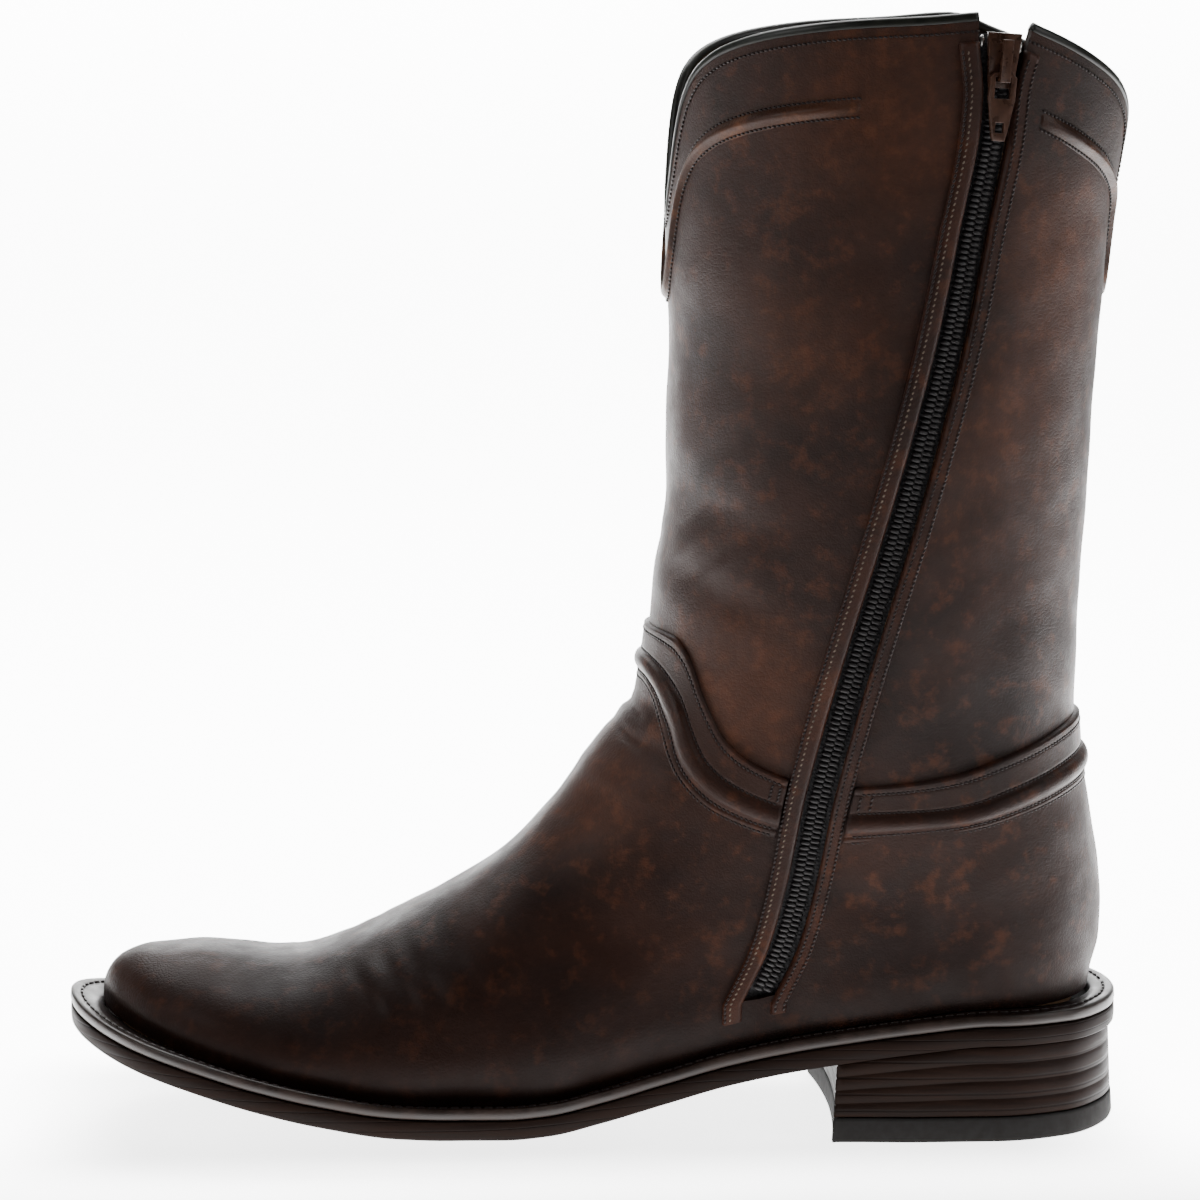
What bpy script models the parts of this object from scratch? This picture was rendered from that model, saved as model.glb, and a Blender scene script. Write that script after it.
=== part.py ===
"""A right-foot roper boot with an inside zip, standing on its heel and forefoot.

Frame, in metres: the origin is on the floor under the middle of the heel, +Z is up, the toe
points along -X and the inner side of the foot, with the zip, faces -Y.
"""

import bmesh
import bpy
import numpy as np
from mathutils import Vector

MM = 0.001
GAP = 0.3 * MM  # left between pieces that touch
STRIP_GAP = 0.7 * MM  # under strips that bend round the upper

# The foot and its sole
LENGTH = 299 * MM  # of the sole, heel to toe
HEEL_BACK = 41.5 * MM  # the sole's back edge, behind the origin
BALL_WIDTH = 106 * MM  # of the sole
UPPER_WIDTH = 98 * MM  # of the upper at the ball
TOE_SPRING = 30 * MM  # the sole's underside at the toe tip
SEAT_HEIGHT = 27.5 * MM  # the sole's underside over the heel
CAMBER = 8 * MM  # the sole's edge above its middle at the ball
OUTSOLE_THICK = 5.4 * MM
WELT_THICK = 3.0 * MM
INSOLE_THICK = 6.0 * MM
LIFT_THICK = 7 * MM
HEEL_INSET = 1.6 * MM  # of the heel's top, inside the sole's edge
HEEL_FOOT_INSET = 0.6 * MM  # of the stack's foot
LIFT_INSET = 0.4 * MM  # of the top lift's upper edge

# The upper and its shaft
WALL = 2.4 * MM
INSTEP_HEIGHT = 117 * MM  # floor to the throat, where the shaft begins
SHAFT_RISE = 140 * MM  # throat to the bottom of the collar's dips
COLLAR_RISE = 54.3 * MM  # dips to the top of the sides
SHAFT_WIDTH = 99 * MM  # across the collar
FEATHER_TUCK = 3.2 * MM  # how far the upper tucks in where it meets the welt
TUCK_HEIGHT = 15 * MM
LEG_DEPTH = 120 * MM  # of the shaft, front to back
LEG_EASE_LOW = 30 * MM  # from here up to the next, the heel's plan turns into the shaft's
LEG_EASE_HIGH = 115 * MM
FOOT_EASE_TOE = -150 * MM  # from here back to the next, the foot's sections turn into the leg's
FOOT_EASE_HEEL = -112 * MM
SWAY_EASE_LOW = 60 * MM  # the ridge's sway fades out between these heights
SWAY_EASE_HIGH = 120 * MM

# Trim sewn on the upper
BAND_THICK = 2.0 * MM  # from the upper's face to the band's
CORD_RISE = 1.5 * MM  # of the corded ridges, above their leather
BEAD_WIDTH = 5.2 * MM
BEAD_BASE = 0.4 * MM
FACING_FRONT = 5.4 * MM  # width of the facing before the zip
FACING_BACK = 4.2 * MM
FACING_THICK = 0.9 * MM
SEAM_WIDTH = 5.0 * MM
BINDING_HEIGHT = 1.5 * MM
BINDING_LAP = 0.5 * MM  # beyond each face of the wall

# The zip
SLIT_WIDTH = 8.6 * MM
SLIT_MOUTH = 15 * MM  # where the slit opens at the collar
MOUTH_DEPTH = 22 * MM
TAPE_WIDTH = 24 * MM
TAPE_THICK = 0.8 * MM
COIL_WIDTH = 5.8 * MM
COIL_THICK = 1.6 * MM
SLIDER_LENGTH = 14.5 * MM
SLIDER_WIDTH = 9.6 * MM
SLIDER_TIP = 7.0 * MM
SLIDER_THICK = 1.3 * MM
BRIDGE_LENGTH = 11.2 * MM
BRIDGE_WIDTH = 3.0 * MM
BRIDGE_THICK = 1.0 * MM
LEG_LENGTH = 1.0 * MM  # of each of the bridge's legs, along the slider
PULL_LENGTH = 17.4 * MM  # below its pin
PULL_WIDTH = 7.6 * MM
PULL_TIP = 4.6 * MM
PULL_THICK = 1.2 * MM
PULL_CORNER = 1.2 * MM
WINDOW_LENGTH = 6.2 * MM  # below the pin
EYE_START = 12.6 * MM  # the small hole near the pull's tip, below the pin
EYE_END = 15.2 * MM
EYE_WIDTH = 2.2 * MM
PIN_RADIUS = 0.6 * MM
RUN = 0.35 * MM  # clearance round the pull's pin and the bridge

# Side view of the ridge, from the toe's feather edge to the collar's front dip.
# along: share of LENGTH from the sole's back edge. level: 0 floor, 1 throat, 2 bottom of the dips.
RIDGE = [
    # along, level
    (0.9676, 0.310),
    (0.9662, 0.350),
    (0.9612, 0.382),
    (0.9490, 0.412),
    (0.9220, 0.432),
    (0.8850, 0.434),
    (0.8400, 0.424),
    (0.8080, 0.416),
    (0.7740, 0.424),
    (0.7380, 0.455),
    (0.6930, 0.508),
    (0.6390, 0.580),
    (0.5960, 0.652),
    (0.5560, 0.745),
    (0.5200, 0.850),
    (0.4880, 0.965),
    (0.4650, 1.032),
    (0.4540, 1.100),
    (0.4490, 1.170),
    (0.4450, 1.300),
    (0.4345, 1.450),
    (0.4335, 1.600),
    (0.4310, 1.760),
    (0.4335, 1.880),
    (0.4345, 2.000),
]

# Side view of the back, from the heel's feather edge to the collar's back dip.
BACK = [
    # along, level
    (0.0270, 0.310),
    (0.0235, 0.370),
    (0.0175, 0.450),
    (0.0170, 0.530),
    (0.0205, 0.620),
    (0.0270, 0.720),
    (0.0350, 0.830),
    (0.0425, 0.940),
    (0.0450, 1.040),
    (0.0430, 1.200),
    (0.0395, 1.380),
    (0.0358, 1.570),
    (0.0321, 1.700),
    (0.0298, 1.790),
    (0.0276, 1.870),
    (0.0247, 1.950),
    (0.0224, 2.000),
]
COLLAR_FLARE = 0.18  # backwards, for each step up above the back dip

# How the loops round the upper climb: at each share of the ridge, the share of the back.
CLIMB = [(0, 0), (0.20, 0.045), (0.38, 0.10), (0.57, 0.21), (0.70, 0.43), (0.83, 0.70), (1, 1)]

# The sole along its length: centre line's height as shares of TOE_SPRING and SEAT_HEIGHT,
# camber as a share of CAMBER, half widths as shares of half BALL_WIDTH.
SOLE = [
    # along, toe, seat, camber, inner, outer
    (0.000, 0.00, 1.00, 0.00, 0.00, 0.00),
    (0.018, 0.00, 1.00, 0.00, 0.35, 0.35),
    (0.060, 0.00, 1.00, 0.00, 0.57, 0.57),
    (0.130, 0.00, 1.00, 0.00, 0.665, 0.665),
    (0.200, 0.00, 0.93, 0.02, 0.665, 0.665),
    (0.260, 0.00, 0.82, 0.08, 0.645, 0.65),
    (0.320, 0.00, 0.70, 0.14, 0.635, 0.65),
    (0.380, 0.00, 0.545, 0.26, 0.655, 0.69),
    (0.440, 0.00, 0.345, 0.44, 0.715, 0.775),
    (0.500, 0.00, 0.150, 0.66, 0.81, 0.90),
    (0.550, 0.00, 0.030, 0.84, 0.91, 0.995),
    (0.590, 0.00, 0.00, 0.94, 0.965, 1.03),
    (0.640, 0.00, 0.00, 1.00, 0.985, 1.035),
    (0.690, 0.020, 0.00, 1.00, 0.98, 1.015),
    (0.760, 0.150, 0.00, 0.92, 0.965, 0.965),
    (0.820, 0.320, 0.00, 0.76, 0.92, 0.88),
    (0.880, 0.540, 0.00, 0.48, 0.82, 0.75),
    (0.930, 0.730, 0.00, 0.20, 0.665, 0.585),
    (0.970, 0.880, 0.00, 0.05, 0.44, 0.38),
    (1.000, 1.00, 0.00, 0.00, 0.00, 0.00),
]

# Sideways place of the upper's ridge, as a share of half UPPER_WIDTH towards the inner side.
RIDGE_SWAY = [
    # along, sway
    (0.000, 0.00),
    (0.400, 0.02),
    (0.500, 0.06),
    (0.600, 0.12),
    (0.700, 0.15),
    (0.850, 0.12),
    (0.9676, 0.05),
]

# How steeply the loops dive from the ridge, at each share of the ridge.
DIVE = [(0, 9), (0.20, 7), (0.40, 3.2), (0.57, 1.5), (0.70, 1), (1, 1)]

# The leg: half widths as shares of half SHAFT_WIDTH, and the lengths over which the section
# rounds off to the back and to the front, as shares of LEG_DEPTH.
LEG = [
    # level, half, back round, front round
    (0.25, 0.64, 0.30, 0.50),
    (0.50, 0.70, 0.31, 0.52),
    (0.75, 0.75, 0.36, 0.54),
    (1.00, 0.81, 0.44, 0.54),
    (1.25, 0.88, 0.50, 0.53),
    (1.60, 0.95, 0.53, 0.53),
    (2.00, 0.985, 0.54, 0.54),
    (2.60, 1.00, 0.54, 0.54),
]

# The collar's edge above its dips, as a share of COLLAR_RISE, round from front (0) to back (1).
COLLAR = [
    # turn, rise
    (0.000, 0.00),
    (0.017, 0.03),
    (0.035, 0.12),
    (0.056, 0.24),
    (0.080, 0.42),
    (0.108, 0.59),
    (0.150, 0.735),
    (0.220, 0.845),
    (0.305, 0.912),
    (0.400, 0.952),
    (0.500, 0.972),
    (0.590, 0.995),
    (0.655, 0.918),
    (0.750, 0.790),
    (0.850, 0.640),
    (0.910, 0.51),
    (0.955, 0.28),
    (0.980, 0.06),
    (1.000, 0.00),
]

# Lines sewn on the upper, in side view: (along, level).
ZIP_LINE = [
    (0.1415, 2.42),
    (0.1465, 2.33),
    (0.1520, 2.18),
    (0.1685, 1.99),
    (0.1850, 1.80),
    (0.2060, 1.61),
    (0.2310, 1.41),
    (0.2580, 1.21),
    (0.2820, 1.02),
    (0.2990, 0.84),
    (0.3130, 0.64),
    (0.3290, 0.48),
    (0.3540, 0.34),
]
SEAM_LINE = [
    (0.2000, 2.42),
    (0.2150, 1.90),
    (0.2400, 1.40),
    (0.2700, 1.00),
    (0.2950, 0.70),
    (0.3150, 0.45),
    (0.3300, 0.20),
]
VAMP_TOP = [
    (0.4700, 1.186),
    (0.4440, 1.186),
    (0.4280, 1.180),
    (0.4175, 1.155),
    (0.4110, 1.120),
    (0.4050, 1.080),
    (0.3960, 1.035),
    (0.3850, 0.990),
    (0.3690, 0.950),
    (0.3500, 0.922),
    (0.3280, 0.900),
    (0.2900, 0.880),
]
VAMP_LOW = [
    (0.4800, 1.075),
    (0.4560, 1.072),
    (0.4460, 1.040),
    (0.4415, 0.990),
    (0.4370, 0.940),
    (0.4290, 0.890),
    (0.4160, 0.848),
    (0.3990, 0.813),
    (0.3780, 0.787),
    (0.3570, 0.767),
    (0.3330, 0.750),
    (0.2900, 0.730),
]
COUNTER_TOP = [
    (0.3300, 0.876),
    (0.2740, 0.880),
    (0.2240, 0.889),
    (0.1700, 0.910),
    (0.1290, 0.941),
    (0.0930, 0.970),
    (0.0640, 0.995),
    (0.0350, 1.015),
]
COUNTER_LOW = [
    (0.3300, 0.732),
    (0.2740, 0.736),
    (0.2240, 0.744),
    (0.1700, 0.760),
    (0.1290, 0.782),
    (0.0930, 0.806),
    (0.0640, 0.828),
    (0.0200, 0.858),
]

# Ends of the upright pieces, as climbs from the welt (0) to the collar (1)
FACING_LOW = 0.17
FACING_HIGH = 0.985
TAPE_LOW = 0.20
TAPE_HIGH = 0.99
COIL_LOW = 0.275
COIL_HIGH = 0.975
SEAM_LOW = 0.12
SEAM_HIGH = 0.985
BEAD_DROP = 21 * MM  # below the collar's edge
BEAD_CLIMB = 0.93  # where the beads' ends are measured
FRONT_BEAD_START = -36 * MM  # from the zip's line
BACK_BEAD_START = 12.5 * MM
BEAD_END = 6 * MM  # from the side seam's line
SLIDER_CLIMB = 0.973

# Counts of facets
UPPER_ROWS = 28
FRONT_CELLS = 12  # round the inner side, toe to zip
BACK_CELLS = 10  # zip to heel
OUTER_CELLS = 22
SOLE_ROWS = 32
STATIONS = 24  # along a sewn strip
CROWDING = 1.4  # of the net's columns towards the front and the back


# Interpolation


def smooth(table, column, count=400, flat_ends=False):
    """Sample a table's column as a monotone cubic: the keys and the values."""
    key = np.array([row[0] for row in table], float)
    value = np.array([row[column] for row in table], float)
    if key[0] > key[-1]:
        key = key[::-1]
        value = value[::-1]
    step = np.diff(key)
    rise = np.diff(value) / step
    slope = np.zeros_like(value)
    if not flat_ends:
        slope[0] = rise[0]
        slope[-1] = rise[-1]
    for i in range(1, len(key) - 1):
        if rise[i - 1] * rise[i] > 0:
            w1 = 2 * step[i] + step[i - 1]
            w2 = step[i] + 2 * step[i - 1]
            slope[i] = (w1 + w2) / (w1 / rise[i - 1] + w2 / rise[i])
    place = np.linspace(key[0], key[-1], count)
    i = np.clip(np.searchsorted(key, place) - 1, 0, len(key) - 2)
    t = (place - key[i]) / step[i]
    cube = (
        value[i] * (1 + 2 * t) * (1 - t) ** 2
        + slope[i] * step[i] * t * (1 - t) ** 2
        + value[i + 1] * t * t * (3 - 2 * t)
        + slope[i + 1] * step[i] * t * t * (t - 1)
    )
    return place, cube


def look(samples, at):
    """Read a sampled column, held at its ends."""
    return np.interp(at, samples[0], samples[1])


def ramp(value, start, end):
    """Ease from 0 at start to 1 at end."""
    t = np.clip((value - start) / (end - start), 0, 1)
    return t * t * (3 - 2 * t)


def along_of(x):
    return (HEEL_BACK - x) / LENGTH


def x_of(along):
    return HEEL_BACK - along * LENGTH


def z_of(level):
    """Height of a level: 0 floor, 1 throat, 2 bottom of the collar's dips."""
    return np.where(level < 1, level * INSTEP_HEIGHT, INSTEP_HEIGHT + (level - 1) * SHAFT_RISE)


def level_of(z):
    return np.where(z < INSTEP_HEIGHT, z / INSTEP_HEIGHT, 1 + (z - INSTEP_HEIGHT) / SHAFT_RISE)


def turn_of(share):
    """Spread a length's share so that its round ends get as many points as its sides."""
    return np.arccos(1 - 2 * np.clip(share, 0, 1))


def arc_samples(points, count=500):
    """A smooth curve through side-view points, evenly spaced."""
    points = np.array(points, float)
    leg = np.r_[0, np.cumsum(np.hypot(*np.diff(points, axis=0).T))]
    xs = smooth(list(zip(leg, points[:, 0])), 1, 4 * count)[1]
    at, zs = smooth(list(zip(leg, points[:, 1])), 1, 4 * count)
    run = np.r_[0, np.cumsum(np.hypot(np.diff(xs), np.diff(zs)))]
    even = np.linspace(0, run[-1], count)
    return np.column_stack([np.interp(even, run, xs), np.interp(even, run, zs)])


# The sole's own shape

SOLE_TURNS = [(turn_of(row[0]),) + tuple(row[1:]) for row in SOLE]
SOLE_TOE = smooth(SOLE, 1)
SOLE_SEAT = smooth(SOLE, 2)
SOLE_CAMBER = smooth(SOLE, 3)
SOLE_INNER = smooth(SOLE_TURNS, 4)
SOLE_OUTER = smooth(SOLE_TURNS, 5)
RIBS = [0, 1 / 3, 2 / 3, 1]  # lines along the sole, as shares of its half width
CAMBER_RISE = [0, 0, 0.30, 1]  # of the camber at each rib
STACK = OUTSOLE_THICK + WELT_THICK + 2 * STRIP_GAP  # from the outsole's underside to the upper


def sole_half(along, inner):
    """The sole's half width towards one side."""
    turn = turn_of(along)
    share = np.where(inner, look(SOLE_INNER, turn), look(SOLE_OUTER, turn))
    return share * BALL_WIDTH / 2


def sole_under(x, y):
    """Height of the outsole's underside."""
    along = along_of(x)
    middle = TOE_SPRING * look(SOLE_TOE, along) + SEAT_HEIGHT * look(SOLE_SEAT, along)
    reach = np.abs(y) / np.maximum(sole_half(along, y < 0), 0.02)
    bend = np.interp(reach, RIBS, CAMBER_RISE)
    return middle + CAMBER * look(SOLE_CAMBER, along) * bend


# The upper's shape: its side view, then how far it reaches to each side of that

SWAY = smooth(RIDGE_SWAY, 1)
LEG_HALF = smooth(LEG, 1)
LEG_BACK = smooth(LEG, 2)
LEG_FRONT = smooth(LEG, 3)
FOOT_END = x_of(0.9676)
SEAT_END = x_of(0.0270)
FOOT_POWER = 2.2  # of the foot's sections, 2 for an ellipse
LEG_POWER = 2.1
HEEL_HOLD = 0.13  # the leg's plan is held from here to the back
TUCK = FEATHER_TUCK / (UPPER_WIDTH / 2)


def upper_half(x, inner):
    """The upper's fullest half width in plan, over the foot."""
    share = (SEAT_END - x) / (SEAT_END - FOOT_END)
    return sole_half(share, inner) * UPPER_WIDTH / BALL_WIDTH


def feather(x, inner):
    """Height of the upper's lower edge, on the welt."""
    half = upper_half(x, inner) * (1 - TUCK)
    return sole_under(x, np.where(inner, -half, half)) + STACK


def side_view(table):
    """A profile's points, with its first point set down on the welt."""
    points = [(x_of(along), float(z_of(level))) for along, level in table]
    first = points[0][0]
    points[0] = (first, float(feather(first, True)))
    return arc_samples(points)


RIDGE_LINE = side_view(RIDGE)
BACK_LINE = side_view(BACK)
ABOVE = RIDGE_LINE[-1:] + np.array([[0.0, 2 * COLLAR_RISE]])
RIDGE_REACH = np.vstack([RIDGE_LINE, ABOVE])  # drawn on upwards, past the collar's dip
BEHIND = BACK_LINE[-1:] + np.array([[2 * COLLAR_RISE * COLLAR_FLARE, 2 * COLLAR_RISE]])
BACK_REACH = np.vstack([BACK_LINE, BEHIND])
SHARE = np.linspace(0, 1, len(RIDGE_LINE))
CLIMB_RUN = smooth(CLIMB, 1)
DIVE_RUN = smooth(DIVE, 1)
COLLAR_RUN = smooth(COLLAR, 1, flat_ends=True)


def line_at(line, share):
    return np.interp(share, SHARE, line[:, 0]), np.interp(share, SHARE, line[:, 1])


def behind(z):
    """How far back the back line reaches at a height."""
    return np.interp(z, BACK_REACH[:, 1], BACK_REACH[:, 0])


def wrapped(angle):
    """Bring an angle that has passed the back round to the other side."""
    return (np.asarray(angle, float) + np.pi) % (2 * np.pi) - np.pi


def place(angle, climb):
    """Side-view place of a point of the upper.

    angle: 0 at the front, pi at the back, above 0 on the inner side. climb: 0 welt, 1 collar.
    """
    angle = wrapped(angle)
    inner = angle >= 0
    turn = np.abs(angle)
    share = (1 - np.cos(turn)) / 2
    front_x, front_z = line_at(RIDGE_LINE, climb)
    back_x, back_z = line_at(BACK_LINE, look(CLIMB_RUN, climb))
    lift = COLLAR_RISE * look(COLLAR_RUN, turn / np.pi) * ramp(climb, 0.62, 1.0)
    flared_x = back_x + behind(back_z + lift) - behind(back_z)
    x = front_x + (flared_x - front_x) * share
    front_rise = front_z - feather(front_x, inner)
    back_rise = back_z - feather(back_x, inner)
    foot_rise = back_rise + (front_rise - back_rise) * (1 - share) ** look(DIVE_RUN, climb)
    low = feather(x, inner) + foot_rise
    high = front_z + (back_z - front_z) * share + lift
    mix = ramp(climb, 0.45, 0.66)
    return x, low * (1 - mix) + high * mix


def round_off(share, power):
    """Rounding towards an outline: 0 on it, 1 from a full share inwards."""
    inward = 1 - np.clip(share, 0, 1)
    return (1 - inward**power) ** (1 / power)


def ridge_distance(x, z):
    """Distance to the ridge in side view."""
    flat_x = np.ravel(x)
    flat_z = np.ravel(z)
    dx = flat_x[:, None] - RIDGE_REACH[None, :, 0]
    dz = flat_z[:, None] - RIDGE_REACH[None, :, 1]
    square = dx * dx + dz * dz
    near = np.argmin(square, axis=1)
    best = np.full(len(flat_x), np.inf)
    for step in (-1, 0):
        i = np.clip(near + step, 0, len(RIDGE_REACH) - 2)
        start = RIDGE_REACH[i]
        edge = RIDGE_REACH[i + 1] - start
        t = ((flat_x - start[:, 0]) * edge[:, 0] + (flat_z - start[:, 1]) * edge[:, 1])
        t = np.clip(t / (edge**2).sum(axis=1), 0, 1)
        gap_x = flat_x - start[:, 0] - edge[:, 0] * t
        gap_z = flat_z - start[:, 1] - edge[:, 1] * t
        best = np.minimum(best, np.hypot(gap_x, gap_z))
    return best.reshape(np.shape(x))


def half_width(x, z, inner):
    """The upper's fullness and half width at a side-view place."""
    level = level_of(z)
    rise = z - feather(x, inner)
    tuck = 1 - TUCK * (1 - np.clip(rise / TUCK_HEIGHT, 0, 1)) ** 2
    plan = upper_half(x, inner)
    top = np.interp(x, RIDGE_LINE[:, 0], RIDGE_LINE[:, 1])
    foot_share = 1 - np.clip(rise / np.maximum(top - feather(x, inner), 1e-5), 0, 1)
    foot_full = round_off(foot_share, FOOT_POWER)
    hold = x_of(np.maximum(along_of(x), HEEL_HOLD))
    low_plan = upper_half(hold, inner)
    shaft = look(LEG_HALF, level) * SHAFT_WIDTH / 2
    mix = ramp(z, LEG_EASE_LOW, LEG_EASE_HIGH)
    leg_plan = low_plan * (1 - mix) + shaft * mix
    back_full = round_off((behind(z) - x) / (look(LEG_BACK, level) * LEG_DEPTH), LEG_POWER)
    front = ridge_distance(x, z) / (look(LEG_FRONT, level) * LEG_DEPTH)
    leg_full = back_full * round_off(front, LEG_POWER)
    blend = ramp(x, FOOT_EASE_TOE, FOOT_EASE_HEEL)
    full = foot_full * (1 - blend) + leg_full * blend
    return full, (plan * (1 - blend) + leg_plan * blend) * tuck


def skin(angle, climb):
    """Points of the upper's outer face."""
    inner = wrapped(angle) >= 0
    x, z = place(angle, climb)
    full, half = half_width(x, z, inner)
    fade = 1 - ramp(z, SWAY_EASE_LOW, SWAY_EASE_HIGH)
    ridge_y = -look(SWAY, along_of(x)) * UPPER_WIDTH / 2 * fade
    y = ridge_y * (1 - full) + np.where(inner, -1, 1) * half * full
    return np.stack([x, y, z], axis=-1)


def normal(angle, climb):
    """Outward direction of the upper's face."""
    step = 4e-3
    above = np.minimum(climb + step, 1)
    below = np.maximum(climb - step, 0)
    round_way = skin(angle + step, climb) - skin(angle - step, climb)
    up_way = skin(angle, above) - skin(angle, below)
    out = np.cross(round_way, up_way)
    return out / np.linalg.norm(out, axis=-1, keepdims=True)


def lifted(angle, climb, lift):
    """Points at a height above the upper's outer face, or inside it below 0."""
    lift = np.asarray(lift, float)
    return skin(angle, climb) + normal(angle, climb) * lift[..., None]


# Places on the upper, from lines in side view

ZIP_X = smooth([(float(z_of(level)), x_of(along)) for along, level in ZIP_LINE], 1)
SEAM_X = smooth([(float(z_of(level)), x_of(along)) for along, level in SEAM_LINE], 1)


def bisect(miss, low, high, rounds=26):
    """Where a growing miss crosses zero, element by element."""
    for _ in range(rounds):
        middle = (low + high) / 2
        over = miss(middle) > 0
        high = np.where(over, middle, high)
        low = np.where(over, low, middle)
    return (low + high) / 2


def turn_at_line(climb, line, offset, side):
    """The angle at which a loop meets an upright line, moved back by an offset."""
    climb = np.asarray(climb, float)

    def miss(turn):
        x, z = place(side * turn, climb)
        return x - look(line, z) - offset(z)

    return side * bisect(miss, np.full(climb.shape, 0.02), np.full(climb.shape, 3.12))


def climb_at_line(angle, line):
    """Where the upper's surface at an angle crosses a line that runs round it."""
    angle = np.asarray(angle, float)

    def miss(climb):
        x, z = place(angle, climb)
        return level_of(z) - look(line, along_of(x))

    return bisect(miss, np.zeros(angle.shape), np.ones(angle.shape))


def climb_below_rim(angle, drop):
    """Where the surface lies a drop below the collar's edge."""
    angle = np.asarray(angle, float)
    rim_z = place(angle, np.ones(angle.shape))[1]

    def miss(climb):
        return place(angle, climb)[1] - rim_z + drop

    return bisect(miss, np.full(angle.shape, 0.5), np.ones(angle.shape))


def slit_edge(z):
    """Half width of the zip's slit, which opens out at the collar."""
    rim = INSTEP_HEIGHT + SHAFT_RISE + COLLAR_RISE
    opening = ramp(z, rim - MOUTH_DEPTH, rim)
    return SLIT_WIDTH / 2 + (SLIT_MOUTH - SLIT_WIDTH) / 2 * opening


# Making meshes


def make(name, points, faces, material, sharp=False):
    """Add one closed solid."""
    mesh = bpy.data.meshes.new(name)
    mesh.from_pydata([tuple(point) for point in points], [], faces)
    edit = bmesh.new()
    edit.from_mesh(mesh)
    bmesh.ops.recalc_face_normals(edit, faces=edit.faces)
    if edit.calc_volume(signed=True) < 0:
        bmesh.ops.reverse_faces(edit, faces=edit.faces)
    edit.to_mesh(mesh)
    edit.free()
    for polygon in mesh.polygons:
        polygon.use_smooth = not sharp
    mesh.materials.append(material)
    item = bpy.data.objects.new(name, mesh)
    bpy.context.scene.collection.objects.link(item)
    return item


def paint(name, colour, rough, metallic=0.0):
    """A plain material of its own."""
    material = bpy.data.materials.new(name)
    material.use_nodes = True
    shader = material.node_tree.nodes["Principled BSDF"]
    shader.inputs["Base Color"].default_value = (*colour, 1)
    shader.inputs["Roughness"].default_value = rough
    shader.inputs["Metallic"].default_value = metallic
    return material


def sweep(name, rings, material, loop=False):
    """Join sections of equal size into a tube with closed ends, or into a closed ring."""
    count = len(rings[0])
    points = [point for ring in rings for point in ring]
    faces = []
    spans = len(rings) if loop else len(rings) - 1
    for k in range(spans):
        near = k * count
        far = (k + 1) % len(rings) * count
        for i in range(count):
            j = (i + 1) % count
            faces.append((near + i, near + j, far + j, far + i))
    if not loop:
        faces.append(tuple(range(count)))
        faces.append(tuple(range(len(points) - count, len(points))))
    return make(name, points, faces, material)


def slab(name, rows, low, high, material, tip_end=True):
    """Fill a plan outline between two heights; its first row is a single tip."""
    points = []
    first = []
    for row in rows:
        first.append(len(points))
        points.extend((x, y, float(low(x, y))) for x, y in row)
    under = len(points)
    points.extend([(x, y, float(high(x, y))) for row in rows for x, y in row])
    faces = []
    for k in range(len(rows) - 1):
        a = first[k]
        b = first[k + 1]
        if len(rows[k]) == 1:
            faces.extend((a, b + i, b + i + 1) for i in range(len(rows[k + 1]) - 1))
        elif len(rows[k + 1]) == 1:
            faces.extend((b, a + i + 1, a + i) for i in range(len(rows[k]) - 1))
        else:
            faces.extend((a + i, b + i, b + i + 1, a + i + 1) for i in range(len(rows[k]) - 1))
    left = [first[k] for k in range(len(rows))]
    right = [first[k] + len(rows[k]) - 1 for k in range(len(rows) - 1, 0, -1)]
    if not tip_end:
        last = first[-1]
        left = left + [last + i for i in range(1, len(rows[-1]) - 1)]
        border = left + right
    else:
        border = left + right[1:]
    faces = faces + [tuple(under + i for i in reversed(face)) for face in faces]
    for k, a in enumerate(border):
        b = border[(k + 1) % len(border)]
        faces.append((a, b, under + b, under + a))
    return make(name, points, faces, material)


def double_sided(cells, under):
    """Faces of a wall: cells, the same on its other side, and its edges all round."""
    uses = {}
    for cell in cells:
        for k in range(4):
            pair = (cell[k], cell[(k + 1) % 4])
            uses.setdefault(tuple(sorted(pair)), []).append(pair)
    faces = cells + [tuple(under + i for i in reversed(cell)) for cell in cells]
    for pairs in uses.values():
        if len(pairs) == 1:
            a, b = pairs[0]
            faces.append((b, a, under + a, under + b))
    return faces


# The upper


def upper_grid():
    """Angles and climbs of the upper's net, with one column for the zip's slit."""
    low, high = 0.0, 0.5
    foot_z = float(z_of(ZIP_LINE[-1][1])) + 1.5 * MM
    for _ in range(30):
        middle = (low + high) / 2
        angle = turn_at_line([middle], ZIP_X, np.zeros_like, 1)
        if place(angle, np.array([middle]))[1][0] > foot_z:
            high = middle
        else:
            low = middle
    climbs = (np.arange(UPPER_ROWS + 1) / UPPER_ROWS) ** 1.2
    start = int(np.argmin(np.abs(climbs - low)))
    climbs[start] = low
    front = turn_at_line(climbs, ZIP_X, lambda z: -slit_edge(z), 1)
    back = turn_at_line(climbs, ZIP_X, slit_edge, 1)
    angles = []
    to_front = np.linspace(0, 1, FRONT_CELLS + 1) ** CROWDING
    to_back = np.linspace(0, 1, BACK_CELLS + 1)[::-1] ** CROWDING
    even = np.linspace(0, 1, OUTER_CELLS + 1)[1:-1]
    outer = np.pi * (even - 0.6 * np.sin(2 * np.pi * even) / (2 * np.pi)) - np.pi
    for k in range(len(climbs)):
        inner_front = front[k] * to_front
        inner_back = np.pi - (np.pi - back[k]) * to_back
        angles.append(np.r_[inner_front, inner_back, outer])
    return np.array(angles), climbs, start


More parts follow.
